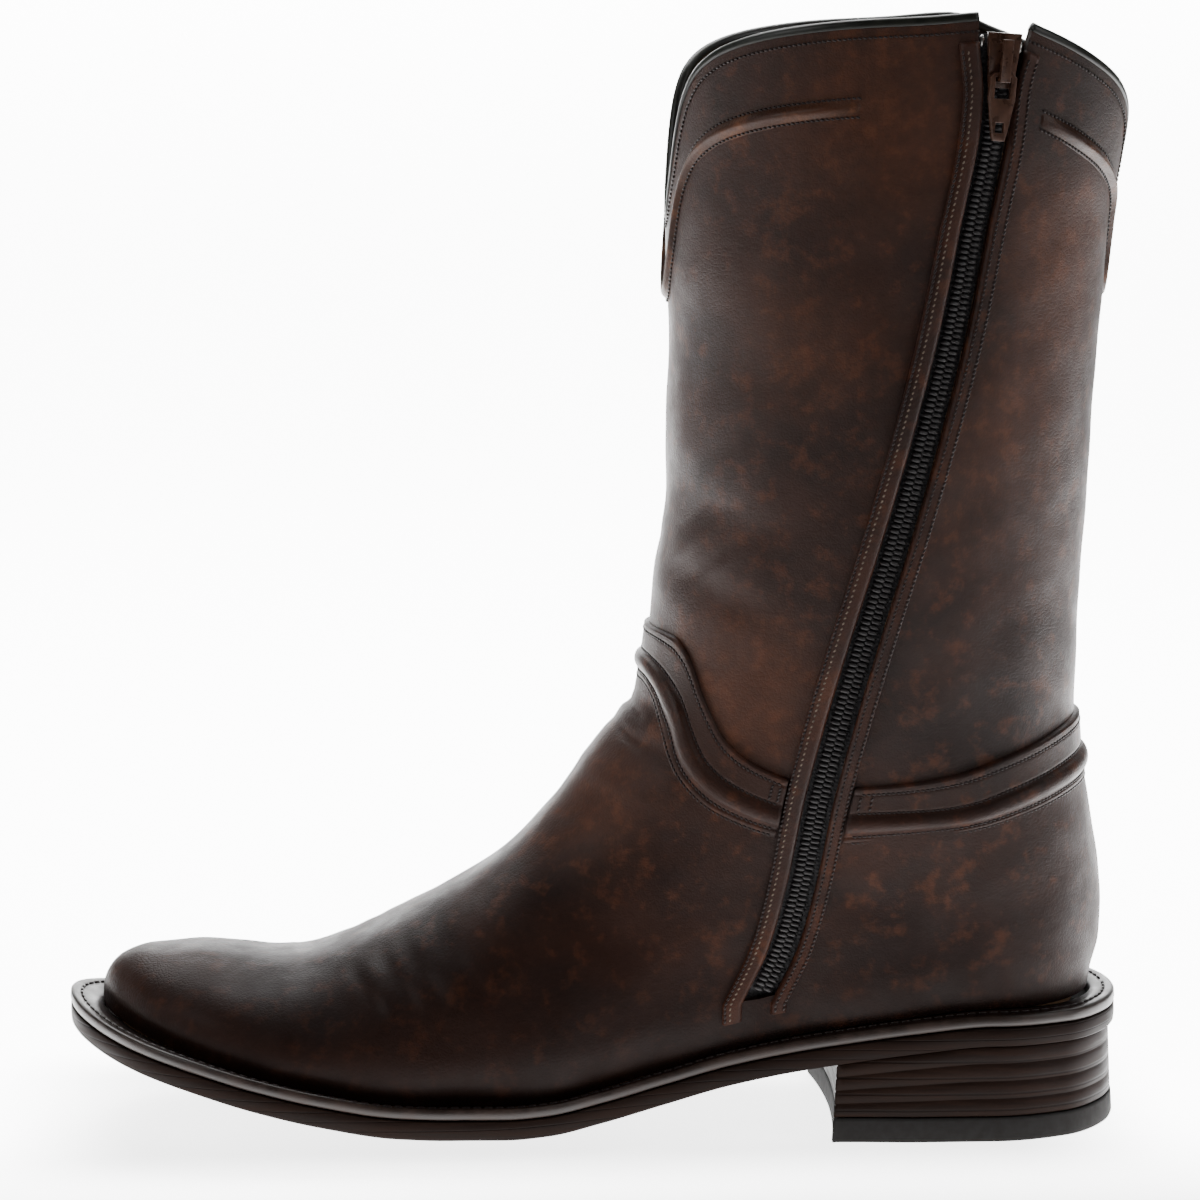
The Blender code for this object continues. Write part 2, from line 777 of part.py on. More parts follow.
def build_upper(material):
    angles, climbs, start = upper_grid()
    climb_grid = np.repeat(climbs[:, None], angles.shape[1], axis=1)
    outer = lifted(angles, climb_grid, np.zeros(angles.shape))
    inner = lifted(angles, climb_grid, np.full(angles.shape, -WALL))
    rows, count = angles.shape
    points = list(outer.reshape(-1, 3)) + list(inner.reshape(-1, 3))
    under = rows * count
    cells = []
    for k in range(rows - 1):
        for i in range(count):
            if i == FRONT_CELLS and k >= start:
                continue
            j = (i + 1) % count
            a = k * count
            b = a + count
            cells.append((a + i, a + j, b + j, b + i))
    return make("upper", points, double_sided(cells, under), material)


# Strips sewn on the upper


def strip(name, angles, climbs, section, material):
    """Sweep a section across columns of places; section: (column, lift) in order round."""
    rings = []
    for k in range(len(angles)):
        at = np.array([angles[k][column] for column, _ in section])
        climb = np.array([climbs[k][column] for column, _ in section])
        lift = np.array([height for _, height in section])
        rings.append(lifted(at, climb, lift))
    return sweep(name, rings, material)


# Across the bands, from raw top edge to low edge: share of the width and height of the face.
BAND_SECTION = [
    # share, height
    (0.00, BAND_THICK),
    (0.47, BAND_THICK),
    (0.55, BAND_THICK + CORD_RISE),
    (0.68, BAND_THICK + CORD_RISE),
    (0.76, BAND_THICK),
    (1.00, STRIP_GAP + 0.4 * MM),
]


def band_places(top, low, start, end, count):
    """Angles and climbs of a band's net; start and end give each column's angle limits."""
    shares = [share for share, _ in BAND_SECTION]
    begin = [start(share) for share in shares]
    finish = [end(share) for share in shares]
    angles = []
    climbs = []
    for k in range(count + 1):
        t = k / count
        row = np.array([b + (f - b) * t for b, f in zip(begin, finish)])
        high = climb_at_line(row, top)
        down = climb_at_line(row, low)
        angles.append(row)
        climbs.append(high + (down - high) * np.array(shares))
    return angles, climbs


def band_limit(top, low, line, offset, side):
    """Find, for a share across a band, the angle at which it meets an upright line."""

    def limit(share):
        def miss(turn):
            angle = side * turn
            high = climb_at_line(angle, top)
            down = climb_at_line(angle, low)
            x, z = place(angle, high + (down - high) * share)
            return x - look(line, z) - offset

        return float(side * bisect(miss, np.array([0.05]), np.array([3.1]))[0])

    return limit


def build_band(name, top_table, low_table, front, material):
    """A corded band round the front or the back, from the zip's facing to the side seam."""
    top = smooth(top_table, 1)
    low = smooth(low_table, 1)
    way = -1 if front else 1
    facing = FACING_FRONT if front else FACING_BACK
    near = way * (SLIT_WIDTH / 2 + facing + 2 * GAP)
    seam = way * (SEAM_WIDTH / 2 + GAP)
    start = band_limit(top, low, ZIP_X, near, 1)
    seam_limit = band_limit(top, low, SEAM_X, seam, -1)

    def end(share):
        angle = seam_limit(share)
        return angle if front else angle + 2 * np.pi

    angles, climbs = band_places(top, low, start, end, STATIONS)
    section = [(i, height) for i, (_, height) in enumerate(BAND_SECTION)]
    section += [(i, STRIP_GAP) for i in reversed(range(len(BAND_SECTION)))]
    return strip(name, angles, climbs, section, material)


# Across a bead: place as a share of half its width, height above the upper.
BEAD_SECTION = [
    # across, height
    (-1.0, STRIP_GAP + BEAD_BASE),
    (-0.55, STRIP_GAP + CORD_RISE),
    (0.55, STRIP_GAP + CORD_RISE),
    (1.0, STRIP_GAP + BEAD_BASE),
    (1.0, STRIP_GAP),
    (-1.0, STRIP_GAP),
]


def build_bead(name, start, end, drop, material):
    """A raised corded line parallel to the collar's edge, between two angles."""
    angles = []
    climbs = []
    point = round(start / np.pi) * np.pi if start > 2 else 0.0
    ends = [np.sign(a - point) * abs(a - point) ** (1 / CROWDING) for a in (start, end)]
    for k in range(STATIONS + 1):
        root = ends[0] + (ends[1] - ends[0]) * k / STATIONS
        angle = point + np.sign(root) * abs(root) ** CROWDING
        row = np.full(len(BEAD_SECTION), angle)
        middle = climb_below_rim(row, drop)
        here = skin(row[:1], middle[:1])[0]
        higher = skin(row[:1], middle[:1] + 0.004)[0]
        per = 0.004 / np.linalg.norm(higher - here)
        across = np.array([share for share, _ in BEAD_SECTION])
        angles.append(row)
        climbs.append(middle - across * per * BEAD_WIDTH / 2)
    section = [(i, height) for i, (_, height) in enumerate(BEAD_SECTION)]
    return strip(name, angles, climbs, section, material)


def build_upright(name, line, side, low, high, edges, lifts, material):
    """A strip along an upright line, through several offsets from it, between two heights."""
    angles = []
    climbs = []
    for k in range(STATIONS + 1):
        climb = np.array([low + (high - low) * k / STATIONS])
        row = [turn_at_line(climb, line, edge, side)[0] for edge in edges]
        angles.append(row + row[::-1])
        climbs.append(np.full(2 * len(row), climb[0]))
    count = len(edges)
    section = [(i, lifts[1]) for i in range(count)] + [(count + i, lifts[0]) for i in range(count)]
    return strip(name, angles, climbs, section, material)


def constant(value):
    return lambda z: np.full(np.shape(z), value)


def beside_slit(way, width):
    """Offset of a facing's edge from the zip's line."""
    return lambda z: way * (slit_edge(z) + width)


def rim_angles():
    """The net's angles along the collar, from the slit round the outer side to the slit."""
    rim = upper_grid()[0][-1]
    front = rim[:FRONT_CELLS + 1]
    back = rim[FRONT_CELLS + 1:FRONT_CELLS + BACK_CELLS + 2]
    outer = rim[FRONT_CELLS + BACK_CELLS + 2:]
    return np.r_[front[::-1], outer[::-1], back[::-1] - 2 * np.pi]


def build_binding(angles, material):
    """A strip along the top of the collar's edge, from the slit round to the slit."""
    out = BINDING_LAP
    back = -WALL - BINDING_LAP
    top = STRIP_GAP + BINDING_HEIGHT
    section = [(out, STRIP_GAP), (out, top), (back, top), (back, STRIP_GAP)]
    rims = skin(angles, np.ones(len(angles)))
    outs = normal(angles, np.ones(len(angles)))
    legs = np.diff(rims, axis=0)
    legs = legs / np.linalg.norm(legs, axis=1, keepdims=True)
    rings = []
    for k in range(len(angles)):
        way = legs[max(k - 1, 0)] + legs[min(k, len(legs) - 1)]
        up = np.cross(way, outs[k])
        up = up / np.linalg.norm(up)
        if up[2] < 0:
            up = -up
        rings.append([rims[k] + outs[k] * lift + up * rise for lift, rise in section])
    return sweep("collar_binding", rings, material)


# The zip's slider and pull, on a flat frame at the top of the zip

COIL_TOP = -0.5 * MM  # below the upper's face
COIL_BASE = COIL_TOP - COIL_THICK
TAPE_TOP = COIL_BASE - 3 * GAP
PLATE_BASE = COIL_TOP + GAP
PLATE_TOP = PLATE_BASE + SLIDER_THICK
PIN_LIFT = PLATE_TOP + RUN + PIN_RADIUS
BRIDGE_BASE = PIN_LIFT + PIN_RADIUS + RUN
BRIDGE_HALF = BRIDGE_LENGTH / 2
PIN_UP = -(BRIDGE_HALF - LEG_LENGTH - RUN - PIN_RADIUS)  # from the slider's middle
WINDOW_HALF = BRIDGE_WIDTH / 2 + RUN + 0.25 * MM


def slider_frame():
    """Origin on the upper's face, and the up, side and outward directions."""
    angle = turn_at_line([SLIDER_CLIMB], ZIP_X, constant(0), 1)
    at = np.array([SLIDER_CLIMB])
    origin = skin(angle, at)[0]
    lower = np.array([SLIDER_CLIMB - 0.03])
    below = skin(turn_at_line(lower, ZIP_X, constant(0), 1), lower)[0]
    out = normal(angle, at)[0]
    up = origin - below
    up = up - out * np.dot(up, out)
    up = up / np.linalg.norm(up)
    return origin, up, np.cross(out, up), out


def in_frame(frame, up, side, out):
    origin, up_way, side_way, out_way = frame
    return origin + up_way * up + side_way * side + out_way * out


def build_slider(frame, material):
    """The tapered plate and, on its middle, a bridge on two legs."""
    half = SLIDER_LENGTH / 2
    edit = bmesh.new()

    def width(up):
        share = (up + half) / SLIDER_LENGTH
        return (SLIDER_TIP + (SLIDER_WIDTH - SLIDER_TIP) * share) / 2

    def corner(up, side, out):
        return edit.verts.new(in_frame(frame, up, side, out))

    ups = [-half, -BRIDGE_HALF, -BRIDGE_HALF + LEG_LENGTH]
    ups += [BRIDGE_HALF - LEG_LENGTH, BRIDGE_HALF, half]
    narrow = BRIDGE_WIDTH / 2
    top = []
    base = []
    for up in ups:
        sides = [-width(up), -narrow, narrow, width(up)]
        top.append([corner(up, side, PLATE_TOP) for side in sides])
        base.append([corner(up, side, PLATE_BASE) for side in sides])
    arch_low = [[corner(up, side, BRIDGE_BASE) for side in (-narrow, narrow)] for up in ups[2:4]]
    arch_top = []
    for up in ups[1:5]:
        arch_top.append([
            corner(up, side, BRIDGE_BASE + BRIDGE_THICK) for side in (-narrow, narrow)
        ])
    face = edit.faces.new
    for k in range(len(ups) - 1):
        for i in range(3):
            foot_of_leg = i == 1 and k in (1, 3)
            if not foot_of_leg:
                face((top[k][i], top[k][i + 1], top[k + 1][i + 1], top[k + 1][i]))
            face((base[k][i], base[k + 1][i], base[k + 1][i + 1], base[k][i + 1]))
        face((top[k][0], top[k + 1][0], base[k + 1][0], base[k][0]))
        face((top[k][3], base[k][3], base[k + 1][3], top[k + 1][3]))
    for k in (0, len(ups) - 1):
        for i in range(3):
            face((top[k][i], base[k][i], base[k][i + 1], top[k][i + 1]))
    for leg, (a, b) in enumerate(((1, 2), (3, 4))):
        inner_low = arch_low[leg]
        tops = arch_top[2 * leg:2 * leg + 2]
        outer_foot = top[a] if leg == 0 else top[b]
        inner_foot = top[b] if leg == 0 else top[a]
        outer_top = tops[0] if leg == 0 else tops[1]
        inner_top = tops[1] if leg == 0 else tops[0]
        face((outer_foot[1], outer_foot[2], outer_top[1], outer_top[0]))
        face((inner_foot[1], inner_foot[2], inner_low[1], inner_low[0]))
        for i in (0, 1):
            face((outer_foot[i + 1], inner_foot[i + 1], inner_low[i], inner_top[i], outer_top[i]))
        face((outer_top[0], outer_top[1], inner_top[1], inner_top[0]))
    face((arch_top[1][0], arch_top[1][1], arch_top[2][1], arch_top[2][0]))
    face((arch_low[0][0], arch_low[0][1], arch_low[1][1], arch_low[1][0]))
    for i in (0, 1):
        face((arch_low[0][i], arch_low[1][i], arch_top[2][i], arch_top[1][i]))
    return finish_edit(edit, "zip_slider", material)


def finish_edit(edit, name, material):
    bmesh.ops.recalc_face_normals(edit, faces=edit.faces)
    mesh = bpy.data.meshes.new(name)
    edit.to_mesh(mesh)
    edit.free()
    mesh.materials.append(material)
    item = bpy.data.objects.new(name, mesh)
    bpy.context.scene.collection.objects.link(item)
    return item


def build_pull(frame, material):
    """A flat tab hung by the bar over its window; its origin is the hinge."""
    pin = in_frame(frame, PIN_UP, 0, PIN_LIFT)
    wide = PULL_WIDTH / 2
    tip = PULL_TIP / 2
    eye = EYE_WIDTH / 2
    rows = [
        # up from the pin, half width, half width of the window or eye
        (PIN_RADIUS, wide - PULL_CORNER, WINDOW_HALF),
        (-PIN_RADIUS, wide, WINDOW_HALF),
        (-WINDOW_LENGTH, wide, WINDOW_HALF),
        (-EYE_START, tip + (wide - tip) * 0.3, eye),
        (-EYE_END, tip, eye),
        (-PULL_LENGTH, tip - PULL_CORNER / 2, eye),
    ]
    open_rows = (1, 3)
    points = []
    for lift in (-PULL_THICK / 2, PULL_THICK / 2):
        for up, half, inner in rows:
            for side in (-half, -inner, inner, half):
                points.append(in_frame(frame, PIN_UP + up, side, PIN_LIFT + lift) - pin)
    cells = []
    for k in range(len(rows) - 1):
        for i in range(3):
            if i == 1 and k in open_rows:
                continue
            a = 4 * k + i
            cells.append((a, a + 4, a + 5, a + 1))
    faces = double_sided(cells, 4 * len(rows))
    item = make("zip_pull", points, faces, material, sharp=True)
    item.location = Vector(pin)
    return item


# The sole


def plan_rows(count, back, toe, width):
    """Rows of points across the sole's outline, fitted between two lengths and scaled across.

    Points lie on the sole's ribs, so that pieces on one another share their folds.
    """
    turns = np.linspace(0, np.pi, count + 1)
    rows = []
    for k, turn in enumerate(turns):
        share = (1 - np.cos(turn)) / 2
        x = back + (toe - back) * share
        if k in (0, count):
            rows.append([(x, 0.0)])
            continue
        row = []
        for inner in (True, False):
            edge = float(sole_half(share, inner)) * width
            full = float(sole_half(along_of(x), inner))
            near = [min(rib * full, edge * fit) for rib, fit in zip(RIBS[1:3], (0.5, 0.8))]
            side = [(x, -y if inner else y) for y in near + [edge]]
            row = side[::-1] if inner else row + side
        row.insert(3, (x, 0.0))
        rows.append(row)
    return rows


def build_outsole(material):
    rows = plan_rows(SOLE_ROWS, HEEL_BACK, HEEL_BACK - LENGTH, 1.0)

    def high(x, y):
        return sole_under(x, y) + OUTSOLE_THICK

    return slab("outsole", rows, sole_under, high, material)


INNER_BACK = SEAT_END - WALL - 1.6 * MM
INNER_TOE = FOOT_END + WALL + 1.6 * MM
INNER_WIDTH = (UPPER_WIDTH / 2 - FEATHER_TUCK - WALL - 1.6 * MM) / (BALL_WIDTH / 2)


def build_insole(material):
    rows = plan_rows(SOLE_ROWS, INNER_BACK, INNER_TOE, INNER_WIDTH)

    def low(x, y):
        return sole_under(x, y) + OUTSOLE_THICK + STRIP_GAP

    def high(x, y):
        return low(x, y) + INSOLE_THICK

    return slab("insole", rows, low, high, material)


def build_welt(material):
    """A flat strip round the sole's edge, under the upper's lower edge."""
    turns = np.linspace(0, 2 * np.pi, 2 * SOLE_ROWS, endpoint=False)
    rings = []
    for turn in turns:
        share = (1 - np.cos(turn)) / 2
        inner_side = turn < np.pi
        sign = -1 if inner_side else 1
        half = float(sole_half(share, inner_side))
        out_x = HEEL_BACK - LENGTH * share
        out_y = sign * half
        in_x = INNER_BACK + GAP + (INNER_TOE - INNER_BACK - 2 * GAP) * share
        in_y = sign * (half * INNER_WIDTH + GAP * np.sin(turn if inner_side else -turn))
        ring = []
        for x, y, rise in (
            (out_x, out_y, 0), (in_x, in_y, 0), (in_x, in_y, WELT_THICK), (out_x, out_y, WELT_THICK)
        ):
            ring.append((x, y, float(sole_under(x, y)) + OUTSOLE_THICK + STRIP_GAP + rise))
        rings.append(ring)
    return sweep("welt", rings, material, loop=True)


BREAST = 0.2830  # along the sole
BREAST_HOLLOW = 2.5 * MM
HEEL_TURNS = 14


def heel_plan(inset):
    """Rows across the heel, from its back to its hollowed breast."""
    turns = np.linspace(0, turn_of(BREAST), HEEL_TURNS + 1)
    rows = []
    for k, turn in enumerate(turns):
        along = (1 - np.cos(turn)) / 2
        x = x_of(along) - inset * np.cos(turn)
        if k == 0:
            rows.append([(x, 0.0)])
            continue
        inner = float(sole_half(along, True)) - inset * np.sin(turn)
        outer = float(sole_half(along, False)) - inset * np.sin(turn)
        row = []
        for i in range(7):
            y = -inner + (inner + outer) * i / 6
            hollow = BREAST_HOLLOW * (1 - (y / inner) ** 2) * (k / HEEL_TURNS) ** 3
            row.append((x + hollow, y))
        rows.append(row)
    return rows


def build_heel(name, base, top, inset_base, inset_top, material):
    """A block on the heel's plan; a top of None follows the sole's underside."""
    low_rows = heel_plan(inset_base)
    high_rows = heel_plan(inset_top)
    flat_high = [point for row in high_rows for point in row]
    item = slab(name, low_rows, lambda x, y: base, lambda x, y: base + 1, material, tip_end=False)
    count = len(flat_high)
    for i, vertex in enumerate(item.data.vertices):
        if i >= count:
            x, y = flat_high[i - count]
            z = float(sole_under(x, y)) - GAP if top is None else top
            vertex.co = (x, y, z)
    return item


def main():
    for item in list(bpy.data.objects):
        bpy.data.objects.remove(item, do_unlink=True)

    leather = paint("upper_leather", (0.055, 0.022, 0.012), 0.35)
    band_leather = paint("band_leather", (0.045, 0.018, 0.010), 0.35)
    counter_leather = paint("counter_leather", (0.048, 0.019, 0.011), 0.35)
    build_upper(leather)
    build_band("vamp_band", VAMP_TOP, VAMP_LOW, True, band_leather)
    build_band("counter_band", COUNTER_TOP, COUNTER_LOW, False, counter_leather)

    bead_at = np.array([BEAD_CLIMB])
    front_start = turn_at_line(bead_at, ZIP_X, constant(FRONT_BEAD_START), 1)[0]
    back_start = turn_at_line(bead_at, ZIP_X, constant(BACK_BEAD_START), 1)[0]
    seam_front = turn_at_line(bead_at, SEAM_X, constant(-BEAD_END), -1)[0]
    seam_back = turn_at_line(bead_at, SEAM_X, constant(BEAD_END), -1)[0]
    bead_leather = paint("bead_leather", (0.10, 0.04, 0.02), 0.35)
    back_leather = paint("back_bead_leather", (0.10, 0.04, 0.02), 0.35)
    build_bead("shaft_bead_front", front_start, seam_front, BEAD_DROP, bead_leather)
    build_bead("shaft_bead_back", back_start, seam_back + 2 * np.pi, BEAD_DROP, back_leather)

    facing = paint("facing_leather", (0.06, 0.025, 0.014), 0.4)
    facing_back = paint("facing_back_leather", (0.06, 0.025, 0.014), 0.4)
    lifts = (STRIP_GAP, STRIP_GAP + FACING_THICK)
    low = FACING_LOW
    high = FACING_HIGH
    build_upright("zip_facing_front", ZIP_X, 1, low, high,
                  (beside_slit(-1, FACING_FRONT), beside_slit(-1, 0)), lifts, facing)
    build_upright("zip_facing_back", ZIP_X, 1, low, high,
                  (beside_slit(1, 0), beside_slit(1, FACING_BACK)), lifts, facing_back)
    tape = paint("tape_cloth", (0.012, 0.012, 0.013), 0.8)
    coil = paint("coil_nylon", (0.01, 0.01, 0.011), 0.45)
    half = TAPE_WIDTH / 2
    tape_edges = [constant(half * share) for share in (-1, -0.4, 0.4, 1)]
    build_upright("zip_tape", ZIP_X, 1, TAPE_LOW, TAPE_HIGH, tape_edges,
                  (TAPE_TOP - TAPE_THICK, TAPE_TOP), tape)
    half = COIL_WIDTH / 2
    build_upright("zip_coil", ZIP_X, 1, COIL_LOW, COIL_HIGH, (constant(-half), constant(half)),
                  (COIL_BASE, COIL_TOP), coil)
    seam = paint("seam_leather", (0.05, 0.02, 0.012), 0.4)
    half = SEAM_WIDTH / 2
    build_upright("side_seam", SEAM_X, -1, SEAM_LOW, SEAM_HIGH, (constant(-half), constant(half)),
                  (STRIP_GAP, BAND_THICK), seam)

    build_binding(rim_angles(), paint("binding_edge", (0.015, 0.016, 0.012), 0.25))

    frame = slider_frame()
    metal = paint("slider_metal", (0.06, 0.035, 0.02), 0.3, 0.8)
    pull_metal = paint("pull_metal", (0.06, 0.035, 0.02), 0.3, 0.8)
    build_slider(frame, metal)
    build_pull(frame, pull_metal)

    build_insole(paint("insole_leather", (0.35, 0.22, 0.12), 0.7))
    build_welt(paint("welt_leather", (0.04, 0.02, 0.012), 0.5))
    build_outsole(paint("outsole_leather", (0.05, 0.025, 0.015), 0.5))
    build_heel("heel_stack", LIFT_THICK + GAP, None, HEEL_FOOT_INSET, HEEL_INSET,
               paint("heel_leather", (0.045, 0.02, 0.012), 0.4))
    build_heel("top_lift", 0.0, LIFT_THICK, 0.0, LIFT_INSET,
               paint("lift_rubber", (0.02, 0.018, 0.017), 0.7))


main()
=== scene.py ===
"""How the boot looks: leather, stitches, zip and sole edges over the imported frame.

Frame, in metres, as in the part: origin on the floor under the heel, +Z up, toe along -X,
the inner side with the zip facing -Y.
"""

import math

import bmesh
import bpy
import numpy as np
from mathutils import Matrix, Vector


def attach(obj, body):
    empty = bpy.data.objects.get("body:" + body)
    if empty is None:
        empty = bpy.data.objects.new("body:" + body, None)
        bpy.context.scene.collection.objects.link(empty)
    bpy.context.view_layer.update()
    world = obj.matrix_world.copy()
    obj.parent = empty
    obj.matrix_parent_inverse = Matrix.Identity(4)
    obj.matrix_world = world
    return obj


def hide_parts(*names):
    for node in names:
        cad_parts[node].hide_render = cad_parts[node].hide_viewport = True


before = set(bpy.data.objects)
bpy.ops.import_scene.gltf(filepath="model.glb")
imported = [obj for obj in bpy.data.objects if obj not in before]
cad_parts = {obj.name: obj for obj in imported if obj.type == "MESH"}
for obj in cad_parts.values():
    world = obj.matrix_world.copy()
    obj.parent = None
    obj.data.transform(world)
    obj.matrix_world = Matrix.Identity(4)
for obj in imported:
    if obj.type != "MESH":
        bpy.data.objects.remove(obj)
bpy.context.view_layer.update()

MM = 0.001
GAP = 0.3 * MM  # left between pieces that touch
STRIP_GAP = 0.7 * MM  # under strips that bend round the upper

# The foot and its sole
LENGTH = 299 * MM  # of the sole, heel to toe
HEEL_BACK = 41.5 * MM  # the sole's back edge, behind the origin
BALL_WIDTH = 106 * MM  # of the sole
UPPER_WIDTH = 98 * MM  # of the upper at the ball
TOE_SPRING = 30 * MM  # the sole's underside at the toe tip
SEAT_HEIGHT = 27.5 * MM  # the sole's underside over the heel
CAMBER = 8 * MM  # the sole's edge above its middle at the ball
OUTSOLE_THICK = 5.4 * MM
WELT_THICK = 3.0 * MM
LIFT_THICK = 7 * MM

# The upper and its shaft
WALL = 2.4 * MM
INSTEP_HEIGHT = 117 * MM  # floor to the throat, where the shaft begins
SHAFT_RISE = 140 * MM  # throat to the bottom of the collar's dips
COLLAR_RISE = 54.3 * MM  # dips to the top of the sides
SHAFT_WIDTH = 99 * MM  # across the collar
FEATHER_TUCK = 3.2 * MM  # how far the upper tucks in where it meets the welt
TUCK_HEIGHT = 15 * MM
LEG_DEPTH = 120 * MM  # of the shaft, front to back
LEG_EASE_LOW = 30 * MM  # from here up to the next, the heel's plan turns into the shaft's
LEG_EASE_HIGH = 115 * MM
FOOT_EASE_TOE = -150 * MM  # from here back to the next, the foot's sections turn into the leg's
FOOT_EASE_HEEL = -112 * MM
SWAY_EASE_LOW = 60 * MM  # the ridge's sway fades out between these heights
SWAY_EASE_HIGH = 120 * MM

# Trim sewn on the upper
CORD_RISE = 1.5 * MM  # of the corded ridges, above their leather
BEAD_WIDTH = 5.2 * MM
FACING_FRONT = 5.4 * MM  # width of the facing before the zip
FACING_BACK = 4.2 * MM
SEAM_WIDTH = 5.0 * MM
BINDING_HEIGHT = 1.5 * MM

# The zip
SLIT_WIDTH = 8.6 * MM
SLIT_MOUTH = 15 * MM  # where the slit opens at the collar
MOUTH_DEPTH = 22 * MM
TAPE_WIDTH = 24 * MM
TAPE_THICK = 0.8 * MM
COIL_THICK = 1.6 * MM

# Side view of the ridge, from the toe's feather edge to the collar's front dip.
# along: share of LENGTH from the sole's back edge. level: 0 floor, 1 throat, 2 bottom of the dips.
RIDGE = [
    # along, level
    (0.9676, 0.310),
    (0.9662, 0.350),
    (0.9612, 0.382),
    (0.9490, 0.412),
    (0.9220, 0.432),
    (0.8850, 0.434),
    (0.8400, 0.424),
    (0.8080, 0.416),
    (0.7740, 0.424),
    (0.7380, 0.455),
    (0.6930, 0.508),
    (0.6390, 0.580),
    (0.5960, 0.652),
    (0.5560, 0.745),
    (0.5200, 0.850),
    (0.4880, 0.965),
    (0.4650, 1.032),
    (0.4540, 1.100),
    (0.4490, 1.170),
    (0.4450, 1.300),
    (0.4345, 1.450),
    (0.4335, 1.600),
    (0.4310, 1.760),
    (0.4335, 1.880),
    (0.4345, 2.000),
]

# Side view of the back, from the heel's feather edge to the collar's back dip.
BACK = [
    # along, level
    (0.0270, 0.310),
    (0.0235, 0.370),
    (0.0175, 0.450),
    (0.0170, 0.530),
    (0.0205, 0.620),
    (0.0270, 0.720),
    (0.0350, 0.830),
    (0.0425, 0.940),
    (0.0450, 1.040),
    (0.0430, 1.200),
    (0.0395, 1.380),
    (0.0358, 1.570),
    (0.0321, 1.700),
    (0.0298, 1.790),
    (0.0276, 1.870),
    (0.0247, 1.950),
    (0.0224, 2.000),
]
COLLAR_FLARE = 0.18  # backwards, for each step up above the back dip

# How the loops round the upper climb: at each share of the ridge, the share of the back.
CLIMB = [(0, 0), (0.20, 0.045), (0.38, 0.10), (0.57, 0.21), (0.70, 0.43), (0.83, 0.70), (1, 1)]

# The sole along its length: centre line's height as shares of TOE_SPRING and SEAT_HEIGHT,
# camber as a share of CAMBER, half widths as shares of half BALL_WIDTH.
SOLE = [
    # along, toe, seat, camber, inner, outer
    (0.000, 0.00, 1.00, 0.00, 0.00, 0.00),
    (0.018, 0.00, 1.00, 0.00, 0.35, 0.35),
    (0.060, 0.00, 1.00, 0.00, 0.57, 0.57),
    (0.130, 0.00, 1.00, 0.00, 0.665, 0.665),
    (0.200, 0.00, 0.93, 0.02, 0.665, 0.665),
    (0.260, 0.00, 0.82, 0.08, 0.645, 0.65),
    (0.320, 0.00, 0.70, 0.14, 0.635, 0.65),
    (0.380, 0.00, 0.545, 0.26, 0.655, 0.69),
    (0.440, 0.00, 0.345, 0.44, 0.715, 0.775),
    (0.500, 0.00, 0.150, 0.66, 0.81, 0.90),
    (0.550, 0.00, 0.030, 0.84, 0.91, 0.995),
    (0.590, 0.00, 0.00, 0.94, 0.965, 1.03),
    (0.640, 0.00, 0.00, 1.00, 0.985, 1.035),
    (0.690, 0.020, 0.00, 1.00, 0.98, 1.015),
    (0.760, 0.150, 0.00, 0.92, 0.965, 0.965),
    (0.820, 0.320, 0.00, 0.76, 0.92, 0.88),
    (0.880, 0.540, 0.00, 0.48, 0.82, 0.75),
    (0.930, 0.730, 0.00, 0.20, 0.665, 0.585),
    (0.970, 0.880, 0.00, 0.05, 0.44, 0.38),
    (1.000, 1.00, 0.00, 0.00, 0.00, 0.00),
]

# Sideways place of the upper's ridge, as a share of half UPPER_WIDTH towards the inner side.
RIDGE_SWAY = [
    # along, sway
    (0.000, 0.00),
    (0.400, 0.02),
    (0.500, 0.06),
    (0.600, 0.12),
    (0.700, 0.15),
    (0.850, 0.12),
    (0.9676, 0.05),
]

# How steeply the loops dive from the ridge, at each share of the ridge.
DIVE = [(0, 9), (0.20, 7), (0.40, 3.2), (0.57, 1.5), (0.70, 1), (1, 1)]

# The leg: half widths as shares of half SHAFT_WIDTH, and the lengths over which the section
# rounds off to the back and to the front, as shares of LEG_DEPTH.
LEG = [
    # level, half, back round, front round
    (0.25, 0.64, 0.30, 0.50),
    (0.50, 0.70, 0.31, 0.52),
    (0.75, 0.75, 0.36, 0.54),
    (1.00, 0.81, 0.44, 0.54),
    (1.25, 0.88, 0.50, 0.53),
    (1.60, 0.95, 0.53, 0.53),
    (2.00, 0.985, 0.54, 0.54),
    (2.60, 1.00, 0.54, 0.54),
]

# The collar's edge above its dips, as a share of COLLAR_RISE, round from front (0) to back (1).
COLLAR = [
    # turn, rise
    (0.000, 0.00),
    (0.017, 0.03),
    (0.035, 0.12),
    (0.056, 0.24),
    (0.080, 0.42),
    (0.108, 0.59),
    (0.150, 0.735),
    (0.220, 0.845),
    (0.305, 0.912),
    (0.400, 0.952),
    (0.500, 0.972),
    (0.590, 0.995),
    (0.655, 0.918),
    (0.750, 0.790),
    (0.850, 0.640),
    (0.910, 0.51),
    (0.955, 0.28),
    (0.980, 0.06),
    (1.000, 0.00),
]

